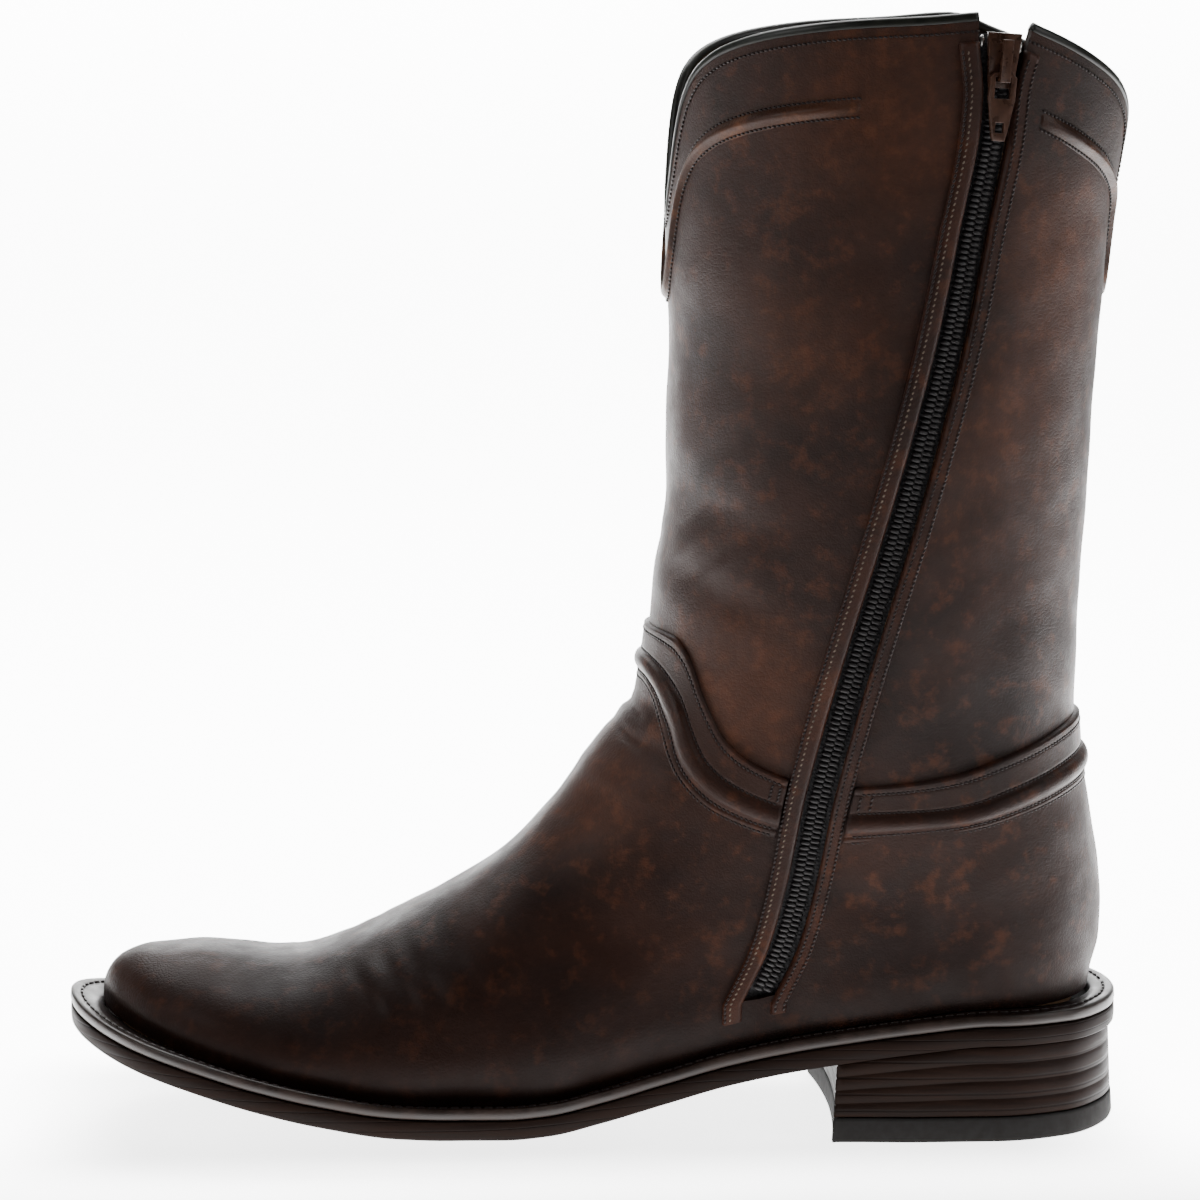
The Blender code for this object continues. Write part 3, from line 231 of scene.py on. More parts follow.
# Lines sewn on the upper, in side view: (along, level).
ZIP_LINE = [
    (0.1415, 2.42),
    (0.1465, 2.33),
    (0.1520, 2.18),
    (0.1685, 1.99),
    (0.1850, 1.80),
    (0.2060, 1.61),
    (0.2310, 1.41),
    (0.2580, 1.21),
    (0.2820, 1.02),
    (0.2990, 0.84),
    (0.3130, 0.64),
    (0.3290, 0.48),
    (0.3540, 0.34),
]
SEAM_LINE = [
    (0.2000, 2.42),
    (0.2150, 1.90),
    (0.2400, 1.40),
    (0.2700, 1.00),
    (0.2950, 0.70),
    (0.3150, 0.45),
    (0.3300, 0.20),
]
VAMP_TOP = [
    (0.4700, 1.186),
    (0.4440, 1.186),
    (0.4280, 1.180),
    (0.4175, 1.155),
    (0.4110, 1.120),
    (0.4050, 1.080),
    (0.3960, 1.035),
    (0.3850, 0.990),
    (0.3690, 0.950),
    (0.3500, 0.922),
    (0.3280, 0.900),
    (0.2900, 0.880),
]
VAMP_LOW = [
    (0.4800, 1.075),
    (0.4560, 1.072),
    (0.4460, 1.040),
    (0.4415, 0.990),
    (0.4370, 0.940),
    (0.4290, 0.890),
    (0.4160, 0.848),
    (0.3990, 0.813),
    (0.3780, 0.787),
    (0.3570, 0.767),
    (0.3330, 0.750),
    (0.2900, 0.730),
]
COUNTER_TOP = [
    (0.3300, 0.876),
    (0.2740, 0.880),
    (0.2240, 0.889),
    (0.1700, 0.910),
    (0.1290, 0.941),
    (0.0930, 0.970),
    (0.0640, 0.995),
    (0.0350, 1.015),
]
COUNTER_LOW = [
    (0.3300, 0.732),
    (0.2740, 0.736),
    (0.2240, 0.744),
    (0.1700, 0.760),
    (0.1290, 0.782),
    (0.0930, 0.806),
    (0.0640, 0.828),
    (0.0200, 0.858),
]

# Ends of the upright pieces, as climbs from the welt (0) to the collar (1)
FACING_LOW = 0.17
FACING_HIGH = 0.985
TAPE_LOW = 0.20
TAPE_HIGH = 0.99
COIL_LOW = 0.275
COIL_HIGH = 0.975
SEAM_LOW = 0.12
SEAM_HIGH = 0.985
BEAD_DROP = 21 * MM  # below the collar's edge
BEAD_CLIMB = 0.93  # where the beads' ends are measured
FRONT_BEAD_START = -36 * MM  # from the zip's line
BACK_BEAD_START = 12.5 * MM
BEAD_END = 6 * MM  # from the side seam's line
CROWDING = 1.4  # of a bead's points towards its V


# Interpolation


def smooth(table, column, count=400, flat_ends=False):
    """Sample a table's column as a monotone cubic: the keys and the values."""
    key = np.array([row[0] for row in table], float)
    value = np.array([row[column] for row in table], float)
    if key[0] > key[-1]:
        key = key[::-1]
        value = value[::-1]
    step = np.diff(key)
    rise = np.diff(value) / step
    slope = np.zeros_like(value)
    if not flat_ends:
        slope[0] = rise[0]
        slope[-1] = rise[-1]
    for i in range(1, len(key) - 1):
        if rise[i - 1] * rise[i] > 0:
            w1 = 2 * step[i] + step[i - 1]
            w2 = step[i] + 2 * step[i - 1]
            slope[i] = (w1 + w2) / (w1 / rise[i - 1] + w2 / rise[i])
    place = np.linspace(key[0], key[-1], count)
    i = np.clip(np.searchsorted(key, place) - 1, 0, len(key) - 2)
    t = (place - key[i]) / step[i]
    cube = (
        value[i] * (1 + 2 * t) * (1 - t) ** 2
        + slope[i] * step[i] * t * (1 - t) ** 2
        + value[i + 1] * t * t * (3 - 2 * t)
        + slope[i + 1] * step[i] * t * t * (t - 1)
    )
    return place, cube


def look(samples, at):
    """Read a sampled column, held at its ends."""
    return np.interp(at, samples[0], samples[1])


def ramp(value, start, end):
    """Ease from 0 at start to 1 at end."""
    t = np.clip((value - start) / (end - start), 0, 1)
    return t * t * (3 - 2 * t)


def along_of(x):
    return (HEEL_BACK - x) / LENGTH


def x_of(along):
    return HEEL_BACK - along * LENGTH


def z_of(level):
    """Height of a level: 0 floor, 1 throat, 2 bottom of the collar's dips."""
    return np.where(level < 1, level * INSTEP_HEIGHT, INSTEP_HEIGHT + (level - 1) * SHAFT_RISE)


def level_of(z):
    return np.where(z < INSTEP_HEIGHT, z / INSTEP_HEIGHT, 1 + (z - INSTEP_HEIGHT) / SHAFT_RISE)


def turn_of(share):
    """Spread a length's share so that its round ends get as many points as its sides."""
    return np.arccos(1 - 2 * np.clip(share, 0, 1))


def arc_samples(points, count=500):
    """A smooth curve through side-view points, evenly spaced."""
    points = np.array(points, float)
    leg = np.r_[0, np.cumsum(np.hypot(*np.diff(points, axis=0).T))]
    xs = smooth(list(zip(leg, points[:, 0])), 1, 4 * count)[1]
    at, zs = smooth(list(zip(leg, points[:, 1])), 1, 4 * count)
    run = np.r_[0, np.cumsum(np.hypot(np.diff(xs), np.diff(zs)))]
    even = np.linspace(0, run[-1], count)
    return np.column_stack([np.interp(even, run, xs), np.interp(even, run, zs)])


# The sole's own shape

SOLE_TURNS = [(turn_of(row[0]),) + tuple(row[1:]) for row in SOLE]
SOLE_TOE = smooth(SOLE, 1)
SOLE_SEAT = smooth(SOLE, 2)
SOLE_CAMBER = smooth(SOLE, 3)
SOLE_INNER = smooth(SOLE_TURNS, 4)
SOLE_OUTER = smooth(SOLE_TURNS, 5)
RIBS = [0, 1 / 3, 2 / 3, 1]  # lines along the sole, as shares of its half width
CAMBER_RISE = [0, 0, 0.30, 1]  # of the camber at each rib
STACK = OUTSOLE_THICK + WELT_THICK + 2 * STRIP_GAP  # from the outsole's underside to the upper


def sole_half(along, inner):
    """The sole's half width towards one side."""
    turn = turn_of(along)
    share = np.where(inner, look(SOLE_INNER, turn), look(SOLE_OUTER, turn))
    return share * BALL_WIDTH / 2


def sole_under(x, y):
    """Height of the outsole's underside."""
    along = along_of(x)
    middle = TOE_SPRING * look(SOLE_TOE, along) + SEAT_HEIGHT * look(SOLE_SEAT, along)
    reach = np.abs(y) / np.maximum(sole_half(along, y < 0), 0.02)
    bend = np.interp(reach, RIBS, CAMBER_RISE)
    return middle + CAMBER * look(SOLE_CAMBER, along) * bend


# The upper's shape: its side view, then how far it reaches to each side of that

SWAY = smooth(RIDGE_SWAY, 1)
LEG_HALF = smooth(LEG, 1)
LEG_BACK = smooth(LEG, 2)
LEG_FRONT = smooth(LEG, 3)
FOOT_END = x_of(0.9676)
SEAT_END = x_of(0.0270)
FOOT_POWER = 2.2  # of the foot's sections, 2 for an ellipse
LEG_POWER = 2.1
HEEL_HOLD = 0.13  # the leg's plan is held from here to the back
TUCK = FEATHER_TUCK / (UPPER_WIDTH / 2)


def upper_half(x, inner):
    """The upper's fullest half width in plan, over the foot."""
    share = (SEAT_END - x) / (SEAT_END - FOOT_END)
    return sole_half(share, inner) * UPPER_WIDTH / BALL_WIDTH


def feather(x, inner):
    """Height of the upper's lower edge, on the welt."""
    half = upper_half(x, inner) * (1 - TUCK)
    return sole_under(x, np.where(inner, -half, half)) + STACK


def side_view(table):
    """A profile's points, with its first point set down on the welt."""
    points = [(x_of(along), float(z_of(level))) for along, level in table]
    first = points[0][0]
    points[0] = (first, float(feather(first, True)))
    return arc_samples(points)


RIDGE_LINE = side_view(RIDGE)
BACK_LINE = side_view(BACK)
ABOVE = RIDGE_LINE[-1:] + np.array([[0.0, 2 * COLLAR_RISE]])
RIDGE_REACH = np.vstack([RIDGE_LINE, ABOVE])  # drawn on upwards, past the collar's dip
BEHIND = BACK_LINE[-1:] + np.array([[2 * COLLAR_RISE * COLLAR_FLARE, 2 * COLLAR_RISE]])
BACK_REACH = np.vstack([BACK_LINE, BEHIND])
SHARE = np.linspace(0, 1, len(RIDGE_LINE))
CLIMB_RUN = smooth(CLIMB, 1)
DIVE_RUN = smooth(DIVE, 1)
COLLAR_RUN = smooth(COLLAR, 1, flat_ends=True)


def line_at(line, share):
    return np.interp(share, SHARE, line[:, 0]), np.interp(share, SHARE, line[:, 1])


def behind(z):
    """How far back the back line reaches at a height."""
    return np.interp(z, BACK_REACH[:, 1], BACK_REACH[:, 0])


def wrapped(angle):
    """Bring an angle that has passed the back round to the other side."""
    return (np.asarray(angle, float) + np.pi) % (2 * np.pi) - np.pi


def place(angle, climb):
    """Side-view place of a point of the upper.

    angle: 0 at the front, pi at the back, above 0 on the inner side. climb: 0 welt, 1 collar.
    """
    angle = wrapped(angle)
    inner = angle >= 0
    turn = np.abs(angle)
    share = (1 - np.cos(turn)) / 2
    front_x, front_z = line_at(RIDGE_LINE, climb)
    back_x, back_z = line_at(BACK_LINE, look(CLIMB_RUN, climb))
    lift = COLLAR_RISE * look(COLLAR_RUN, turn / np.pi) * ramp(climb, 0.62, 1.0)
    flared_x = back_x + behind(back_z + lift) - behind(back_z)
    x = front_x + (flared_x - front_x) * share
    front_rise = front_z - feather(front_x, inner)
    back_rise = back_z - feather(back_x, inner)
    foot_rise = back_rise + (front_rise - back_rise) * (1 - share) ** look(DIVE_RUN, climb)
    low = feather(x, inner) + foot_rise
    high = front_z + (back_z - front_z) * share + lift
    mix = ramp(climb, 0.45, 0.66)
    return x, low * (1 - mix) + high * mix


def round_off(share, power):
    """Rounding towards an outline: 0 on it, 1 from a full share inwards."""
    inward = 1 - np.clip(share, 0, 1)
    return (1 - inward**power) ** (1 / power)


def ridge_distance(x, z):
    """Distance to the ridge in side view."""
    flat_x = np.ravel(x)
    flat_z = np.ravel(z)
    coarse = RIDGE_REACH[::8]
    near = np.zeros(len(flat_x), int)
    least = np.full(len(flat_x), np.inf)
    for k, point in enumerate(coarse):
        square = (flat_x - point[0]) ** 2 + (flat_z - point[1]) ** 2
        closer = square < least
        near[closer] = 8 * k
        least[closer] = square[closer]
    best = np.full(len(flat_x), np.inf)
    for step in range(-9, 9):
        i = np.clip(near + step, 0, len(RIDGE_REACH) - 2)
        start = RIDGE_REACH[i]
        edge = RIDGE_REACH[i + 1] - start
        t = ((flat_x - start[:, 0]) * edge[:, 0] + (flat_z - start[:, 1]) * edge[:, 1])
        t = np.clip(t / (edge**2).sum(axis=1), 0, 1)
        gap_x = flat_x - start[:, 0] - edge[:, 0] * t
        gap_z = flat_z - start[:, 1] - edge[:, 1] * t
        best = np.minimum(best, np.hypot(gap_x, gap_z))
    return best.reshape(np.shape(x))


def half_width(x, z, inner):
    """The upper's fullness and half width at a side-view place."""
    level = level_of(z)
    rise = z - feather(x, inner)
    tuck = 1 - TUCK * (1 - np.clip(rise / TUCK_HEIGHT, 0, 1)) ** 2
    plan = upper_half(x, inner)
    top = np.interp(x, RIDGE_LINE[:, 0], RIDGE_LINE[:, 1])
    foot_share = 1 - np.clip(rise / np.maximum(top - feather(x, inner), 1e-5), 0, 1)
    foot_full = round_off(foot_share, FOOT_POWER)
    hold = x_of(np.maximum(along_of(x), HEEL_HOLD))
    low_plan = upper_half(hold, inner)
    shaft = look(LEG_HALF, level) * SHAFT_WIDTH / 2
    mix = ramp(z, LEG_EASE_LOW, LEG_EASE_HIGH)
    leg_plan = low_plan * (1 - mix) + shaft * mix
    back_full = round_off((behind(z) - x) / (look(LEG_BACK, level) * LEG_DEPTH), LEG_POWER)
    front = ridge_distance(x, z) / (look(LEG_FRONT, level) * LEG_DEPTH)
    leg_full = back_full * round_off(front, LEG_POWER)
    blend = ramp(x, FOOT_EASE_TOE, FOOT_EASE_HEEL)
    full = foot_full * (1 - blend) + leg_full * blend
    return full, (plan * (1 - blend) + leg_plan * blend) * tuck


def skin(angle, climb):
    """Points of the upper's outer face."""
    inner = wrapped(angle) >= 0
    x, z = place(angle, climb)
    full, half = half_width(x, z, inner)
    fade = 1 - ramp(z, SWAY_EASE_LOW, SWAY_EASE_HIGH)
    ridge_y = -look(SWAY, along_of(x)) * UPPER_WIDTH / 2 * fade
    y = ridge_y * (1 - full) + np.where(inner, -1, 1) * half * full
    return np.stack([x, y, z], axis=-1)


def normal(angle, climb):
    """Outward direction of the upper's face."""
    step = 4e-3
    above = np.minimum(climb + step, 1)
    below = np.maximum(climb - step, 0)
    round_way = skin(angle + step, climb) - skin(angle - step, climb)
    up_way = skin(angle, above) - skin(angle, below)
    out = np.cross(round_way, up_way)
    return out / np.linalg.norm(out, axis=-1, keepdims=True)


def lifted(angle, climb, lift):
    """Points at a height above the upper's outer face, or inside it below 0."""
    lift = np.asarray(lift, float)
    return skin(angle, climb) + normal(angle, climb) * lift[..., None]


# Places on the upper, from lines in side view

ZIP_X = smooth([(float(z_of(level)), x_of(along)) for along, level in ZIP_LINE], 1)
SEAM_X = smooth([(float(z_of(level)), x_of(along)) for along, level in SEAM_LINE], 1)


def bisect(miss, low, high, rounds=26):
    """Where a growing miss crosses zero, element by element."""
    for _ in range(rounds):
        middle = (low + high) / 2
        over = miss(middle) > 0
        high = np.where(over, middle, high)
        low = np.where(over, low, middle)
    return (low + high) / 2


def turn_at_line(climb, line, offset, side):
    """The angle at which a loop meets an upright line, moved back by an offset."""
    climb = np.asarray(climb, float)

    def miss(turn):
        x, z = place(side * turn, climb)
        return x - look(line, z) - offset(z)

    return side * bisect(miss, np.full(climb.shape, 0.02), np.full(climb.shape, 3.12))


def climb_at_line(angle, line):
    """Where the upper's surface at an angle crosses a line that runs round it."""
    angle = np.asarray(angle, float)

    def miss(climb):
        x, z = place(angle, climb)
        return level_of(z) - look(line, along_of(x))

    return bisect(miss, np.zeros(angle.shape), np.ones(angle.shape))


def climb_below_rim(angle, drop):
    """Where the surface lies a drop below the collar's edge."""
    angle = np.asarray(angle, float)
    rim_z = place(angle, np.ones(angle.shape))[1]

    def miss(climb):
        return place(angle, climb)[1] - rim_z + drop

    return bisect(miss, np.full(angle.shape, 0.5), np.ones(angle.shape))


def slit_edge(z):
    """Half width of the zip's slit, which opens out at the collar."""
    rim = INSTEP_HEIGHT + SHAFT_RISE + COLLAR_RISE
    opening = ramp(z, rim - MOUTH_DEPTH, rim)
    return SLIT_WIDTH / 2 + (SLIT_MOUTH - SLIT_WIDTH) / 2 * opening


def band_limit(top, low, line, offset, side):
    """Find, for a share across a band, the angle at which it meets an upright line."""

    def limit(share):
        def miss(turn):
            angle = side * turn
            high = climb_at_line(angle, top)
            down = climb_at_line(angle, low)
            x, z = place(angle, high + (down - high) * share)
            return x - look(line, z) - offset

        return float(side * bisect(miss, np.array([0.05]), np.array([3.1]))[0])

    return limit


# Heights of the zip's parts, from the upper's face, and the heel's front

COIL_TOP = -0.5 * MM
COIL_BASE = COIL_TOP - COIL_THICK
TAPE_TOP = COIL_BASE - 3 * GAP
BREAST = 0.2830  # along the sole
BREAST_HOLLOW = 2.5 * MM


# Making pieces


def add_object(name, data):
    """Add an object to the scene."""
    item = bpy.data.objects.new(name, data)
    bpy.context.scene.collection.objects.link(item)
    return item


def smooth_mesh(name, points, faces, material):
    """A smoothly shaded mesh."""
    mesh = bpy.data.meshes.new(name)
    mesh.from_pydata(np.asarray(points, float).reshape(-1, 3).tolist(), [], faces)
    mesh.polygons.foreach_set("use_smooth", [True] * len(mesh.polygons))
    mesh.materials.append(material)
    return mesh


def add_mesh(name, points, faces, material, slot=None, replaces=(), body="boot"):
    """Add a smooth piece that rides on a body."""
    item = add_object(name, smooth_mesh(name, points, faces, material))
    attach(item, body)
    if replaces:
        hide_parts(*replaces)
    return item


def grid_faces(rows, count, closed=False, first=0):
    """Quads of a net of rows of points, closed round if asked."""
    faces = []
    across = count if closed else count - 1
    for k in range(rows - 1):
        a = first + k * count
        for i in range(across):
            j = (i + 1) % count
            faces.append((a + i, a + j, a + count + j, a + count + i))
    return faces


def tube_faces(rows, count):
    """Quads of a net closed round, capped at both ends."""
    faces = grid_faces(rows, count, closed=True)
    faces.append(tuple(reversed(range(count))))
    faces.append(tuple(range((rows - 1) * count, rows * count)))
    return faces


def grid_normals(points):
    """Outward directions of a net whose rows climb and whose columns run round."""
    return unit(np.cross(np.gradient(points, axis=1), np.gradient(points, axis=0)))


def unit(vectors):
    """Vectors of length 1."""
    return vectors / np.maximum(np.linalg.norm(vectors, axis=-1, keepdims=True), 1e-12)


def run_of(points):
    """Distance run along a line of points."""
    return np.r_[0, np.cumsum(np.linalg.norm(np.diff(points, axis=0), axis=1))]


def sampled(at, run, points):
    """Points at some distances along a line of points."""
    return np.column_stack([np.interp(at, run, points[:, i]) for i in range(3)])


def fine_strip(name, angles, climbs, lifts, under, material, **how):
    """A closed strip: its face from a net of places, its underside at one height."""
    ends = [-1, 0]
    angles = np.concatenate([angles, angles[:, ends]], axis=1)
    climbs = np.concatenate([climbs, climbs[:, ends]], axis=1)
    lifts = np.concatenate([lifts, np.full((len(angles), 2), under)], axis=1)
    points = lifted(angles, climbs, lifts)
    return add_mesh(name, points, tube_faces(*angles.shape), material, **how)


CAPSULE = [(-0.5, 0.35), (-0.28, 1.0), (0.28, 1.0), (0.5, 0.35)]  # shares of length and radius


def capsules(name, centres, ways, outs, length, radius, material, flat=1.0, sides=5, **how):
    """Many small rounded bars as one mesh, such as stitches or a zip's teeth."""
    sides_way = unit(np.cross(ways, outs))
    points = []
    for share, girth in CAPSULE:
        middle = centres + ways * (share * length)
        for t in np.linspace(0, 2 * np.pi, sides, endpoint=False):
            side = sides_way * (np.cos(t) * radius * girth)
            out = outs * (np.sin(t) * radius * girth * flat)
            points.append(middle + side + out)
    shape = tube_faces(len(CAPSULE), sides)
    faces = []
    for first in range(0, len(centres) * len(points), len(points)):
        faces.extend(tuple(first + i for i in face) for face in shape)
    return add_mesh(name, np.stack(points, axis=1), faces, material, **how)


STITCH_PITCH = 1.35 * MM
THREAD_LIFT = 0.12 * MM  # of a stitch's middle above its leather


def even_places(run, pitch):
    """Distances along a line at which stitches of about a pitch fit evenly."""
    count = max(int(run[-1] / pitch), 1)
    return (np.arange(count) + 0.5) * run[-1] / count


class Thread:
    """Collects sewn lines so that they become one mesh."""

    def __init__(self):
        self.parts = []

    def line(self, angles, climbs, lift, pitch=STITCH_PITCH):
        """Sew along a line of places on the upper, at a height above it."""
        points = lifted(angles, climbs, np.broadcast_to(lift, angles.shape))
        run = run_of(points)
        at = even_places(run, pitch)
        ahead = sampled(at + pitch * 0.4, run, points)
        past = sampled(at - pitch * 0.4, run, points)
        out = sampled(at, run, normal(angles, climbs))
        self.points(sampled(at, run, points), unit(ahead - past), unit(out))

    def points(self, centres, ways, outs):
        """Keep stitches by their centres, directions and outward ways."""
        self.parts.append((centres, ways, outs))

    def sew(self, name, length, radius, material, slant=0.0, **how):
        """Make all kept stitches, each turned a little off its line."""
        centre, way, out = (np.concatenate([part[i] for part in self.parts]) for i in range(3))
        way = unit(way + np.cross(way, out) * slant)
        return capsules(name, centre, way, out, length, radius, material, **how)


# Materials

MIX_A, MIX_B, MIX_OUT = 6, 7, 2  # the mix node's colour sockets


def nodes_of(name):
    """A new material, its node tree and its shader."""
    material = bpy.data.materials.new(name)
    material.use_nodes = True
    tree = material.node_tree
    return material, tree, tree.nodes["Principled BSDF"]


def feed(tree, made, inputs):
    """Set a node's inputs: constants as they are, other nodes' outputs as links."""
    for key, value in inputs.items():
        if isinstance(value, bpy.types.NodeSocket):
            tree.links.new(value, made.inputs[key])
        else:
            made.inputs[key].default_value = value


def added(tree, kind, inputs, result=0, **settings):
    """Add a shader node and give one of its outputs."""
    made = tree.nodes.new("ShaderNode" + kind)
    for key, value in settings.items():
        setattr(made, key, value)
    feed(tree, made, inputs)
    return made.outputs[result]


def noise(tree, where, scale, detail=4.0, rough=0.55, distortion=0.0):
    """Clouds of a scale."""
    inputs = {"Vector": where, "Scale": scale, "Detail": detail, "Roughness": rough,
              "Distortion": distortion}
    return added(tree, "TexNoise", inputs, "Fac")


def ramp_node(tree, value, low, high, to_low=0.0, to_high=1.0):
    """Ease from one value at low to another at high."""
    inputs = {"Value": value, "From Min": low, "From Max": high, "To Min": to_low,
              "To Max": to_high}
    return added(tree, "MapRange", inputs, "Result", interpolation_type="SMOOTHSTEP")


def maths(tree, operation, a, b=0.0):
    """A sum, product or other operation."""
    return added(tree, "Math", {0: a, 1: b}, operation=operation)


def times(tree, a, b):
    """A product."""
    return maths(tree, "MULTIPLY", a, b)


def mix_colour(tree, share, a, b):
    """A colour between two."""
    a, b = ((*colour, 1) if isinstance(colour, tuple) else colour for colour in (a, b))
    return added(tree, "Mix", {"Factor": share, MIX_A: a, MIX_B: b}, MIX_OUT, data_type="RGBA")


def bump_by(tree, height, strength, distance, under=None):
    """A bump from a height, laid over another bump if given."""
    inputs = {"Height": height, "Strength": strength, "Distance": distance}
    if under is not None:
        inputs["Normal"] = under
    return added(tree, "Bump", inputs, "Normal")


def place_of(tree):
    """Object coordinates, and their separate parts."""
    where = added(tree, "TexCoord", {}, "Object")
    split = tree.nodes.new("ShaderNodeSeparateXYZ")
    tree.links.new(where, split.inputs[0])
    return where, split.outputs["X"], split.outputs["Y"], split.outputs["Z"]


def spot(tree, where, centre, size):
    """A soft round patch: 1 at its centre, 0 beyond its size."""
    far = added(tree, "VectorMath", {0: where, 1: centre}, "Value", operation="DISTANCE")
    return ramp_node(tree, far, 0.0, size, 1.0, 0.0)


def shaded(colour, share):
    """A colour made darker or lighter."""
    return tuple(min(part * share, 1) for part in colour)


def leather(name, dark, mid, warm, rough=0.50, grain=1.0, sheen_patches=(), foot_shade=True):
    """Burnished smooth leather: mottled colour, painted sheen patches where given, painted shade
    towards the floor unless turned off, pores, fine creasing and a waxed coat.
    """
    material, tree, shader = nodes_of(name)
    where, x, y, z = place_of(tree)
    cloud = noise(tree, where, 22.0, 5.0, 0.6, 0.4)
    fine_cloud = noise(tree, where, 160.0, 4.0, 0.65)
    colour = mix_colour(tree, ramp_node(tree, cloud, 0.36, 0.66), dark, mid)
    colour = mix_colour(tree, ramp_node(tree, fine_cloud, 0.50, 0.72, 0.0, 0.35), colour, warm)
    # Painted sheen: lighter warm patches where soft sheen falls
    for centre, size, share in sheen_patches:
        here = times(tree, spot(tree, where, centre, size), share)
        broken = times(tree, here, ramp_node(tree, fine_cloud, 0.25, 0.65, 0.45, 1.0))
        colour = mix_colour(tree, broken, colour, warm)
    # Painted shade: the leather darkens towards the floor
    if foot_shade:
        low = ramp_node(tree, z, 0.020, 0.090, 0.72, 0.0)
        colour = mix_colour(tree, low, colour, shaded(dark, 0.38))
    warp = times(tree, noise(tree, where, 260.0, 3.0, 0.6), 1.6 * MM)
    warp = added(tree, "CombineXYZ", {0: warp, 1: warp, 2: warp})
    warped = added(tree, "VectorMath", {0: where, 1: warp}, operation="ADD")
    pores = added(tree, "TexVoronoi", {"Scale": 900.0, "Vector": warped}, "Distance",
                  feature="DISTANCE_TO_EDGE")
    cells = ramp_node(tree, pores, 0.0, 0.22)
    wrinkle = noise(tree, where, 420.0, 5.0, 0.7, 0.3)
    height = maths(tree, "ADD", times(tree, cells, 0.5), wrinkle)
    fine = bump_by(tree, height, 0.30 * grain, 0.3 * MM)
    cloud = noise(tree, where, 70.0, 5.0, 0.65)
    feed(tree, shader, {
        "Base Color": colour,
        "Normal": bump_by(tree, noise(tree, where, 55.0, 3.0, 0.5), 0.35, 1.2 * MM, fine),
        "Roughness": ramp_node(tree, cloud, 0.3, 0.7, rough - 0.02, rough + 0.16),
        "IOR": 1.35,
        "Specular IOR Level": ramp_node(tree, z, 0.03, 0.13, 0.12, 0.38),
        "Coat Weight": 0.03,
        "Coat Roughness": 0.30,
    })
    return material


def plain(name, colour, rough, metallic=0.0, vary=0.25, scale=300.0, coat=0.0):
    """A simple material with a little change of colour, gloss and surface."""
    material, tree, shader = nodes_of(name)
    cloud = noise(tree, place_of(tree)[0], scale, 4.0, 0.6)
    share = ramp_node(tree, cloud, 0.3, 0.7)
    feed(tree, shader, {
        "Base Color": mix_colour(tree, share, shaded(colour, 1 - vary), shaded(colour, 1 + vary)),
        "Normal": bump_by(tree, cloud, 0.15, 0.2 * MM),
        "Roughness": ramp_node(tree, cloud, 0.3, 0.7, rough - 0.06, rough + 0.06),
        "Metallic": metallic,
        "IOR": 1.35,
        "Coat Weight": coat,
    })
    return material


def layered(name, dark, light, layer, rough):
    """Stacked leather: thin level lines and streaks along them, under a stain."""
    material, tree, shader = nodes_of(name)
    where, x, y, z = place_of(tree)
    drawn_out = added(tree, "VectorMath", {0: where, 1: (40, 40, 500)}, operation="MULTIPLY")
    streak = noise(tree, drawn_out, 1.0, 4.0, 0.6)
    colour = mix_colour(tree, ramp_node(tree, streak, 0.35, 0.7), dark, light)
    step = maths(tree, "FRACT", times(tree, z, 1 / layer))
    edge = maths(tree, "ABSOLUTE", maths(tree, "SUBTRACT", step, 0.5))
    line = ramp_node(tree, edge, 0.40, 0.49)
    height = maths(tree, "SUBTRACT", times(tree, streak, 0.25), times(tree, line, 0.6))
    feed(tree, shader, {
        "Base Color": mix_colour(tree, times(tree, line, 0.5), colour, shaded(dark, 0.3)),
        "Normal": bump_by(tree, height, 0.4, 0.3 * MM),
        "Roughness": ramp_node(tree, streak, 0.3, 0.7, rough - 0.06, rough + 0.1),
        "IOR": 1.3,
        "Specular IOR Level": 0.12,
    })
    return material


def woven(name, colour, rough, scale):
    """Narrow woven cloth: fine crossing ribs."""
    material, tree, shader = nodes_of(name)
    where = place_of(tree)[0]
    ribs = [
        added(tree, "TexWave", {"Scale": size, "Vector": where}, "Fac", bands_direction=way)
        for way, size in (("Z", scale), ("X", scale * 0.8))
    ]
    both = times(tree, *ribs)
    feed(tree, shader, {
        "Base Color": mix_colour(tree, both, colour, shaded(colour, 2.2)),
        "Normal": bump_by(tree, both, 0.6, 0.3 * MM),
        "Roughness": rough,
    })
    return material


# The upper's skin

SKIN_ROWS = 236
SKIN_FRONT = 130  # columns from the toe to the zip
SKIN_BACK = 86  # from the zip to the heel
SKIN_OUTER = 170
LINING_STEP = 3  # the lining takes every third row and column
SLIT_FOOT = 1.5 * MM  # the skin is shut below this, over the line's foot
SLIT_SHUT = 1e-4  # half the angle left there
FOXING_LIFT = 1.05 * MM  # of the vamp and counter leather, above the shaft's
BAND_FACE = 1.5 * MM
CORD_HEIGHT = 1.4 * MM

VAMP_TOP_RUN = smooth(VAMP_TOP, 1)
VAMP_LOW_RUN = smooth(VAMP_LOW, 1)
COUNTER_TOP_RUN = smooth(COUNTER_TOP, 1)
COUNTER_LOW_RUN = smooth(COUNTER_LOW, 1)

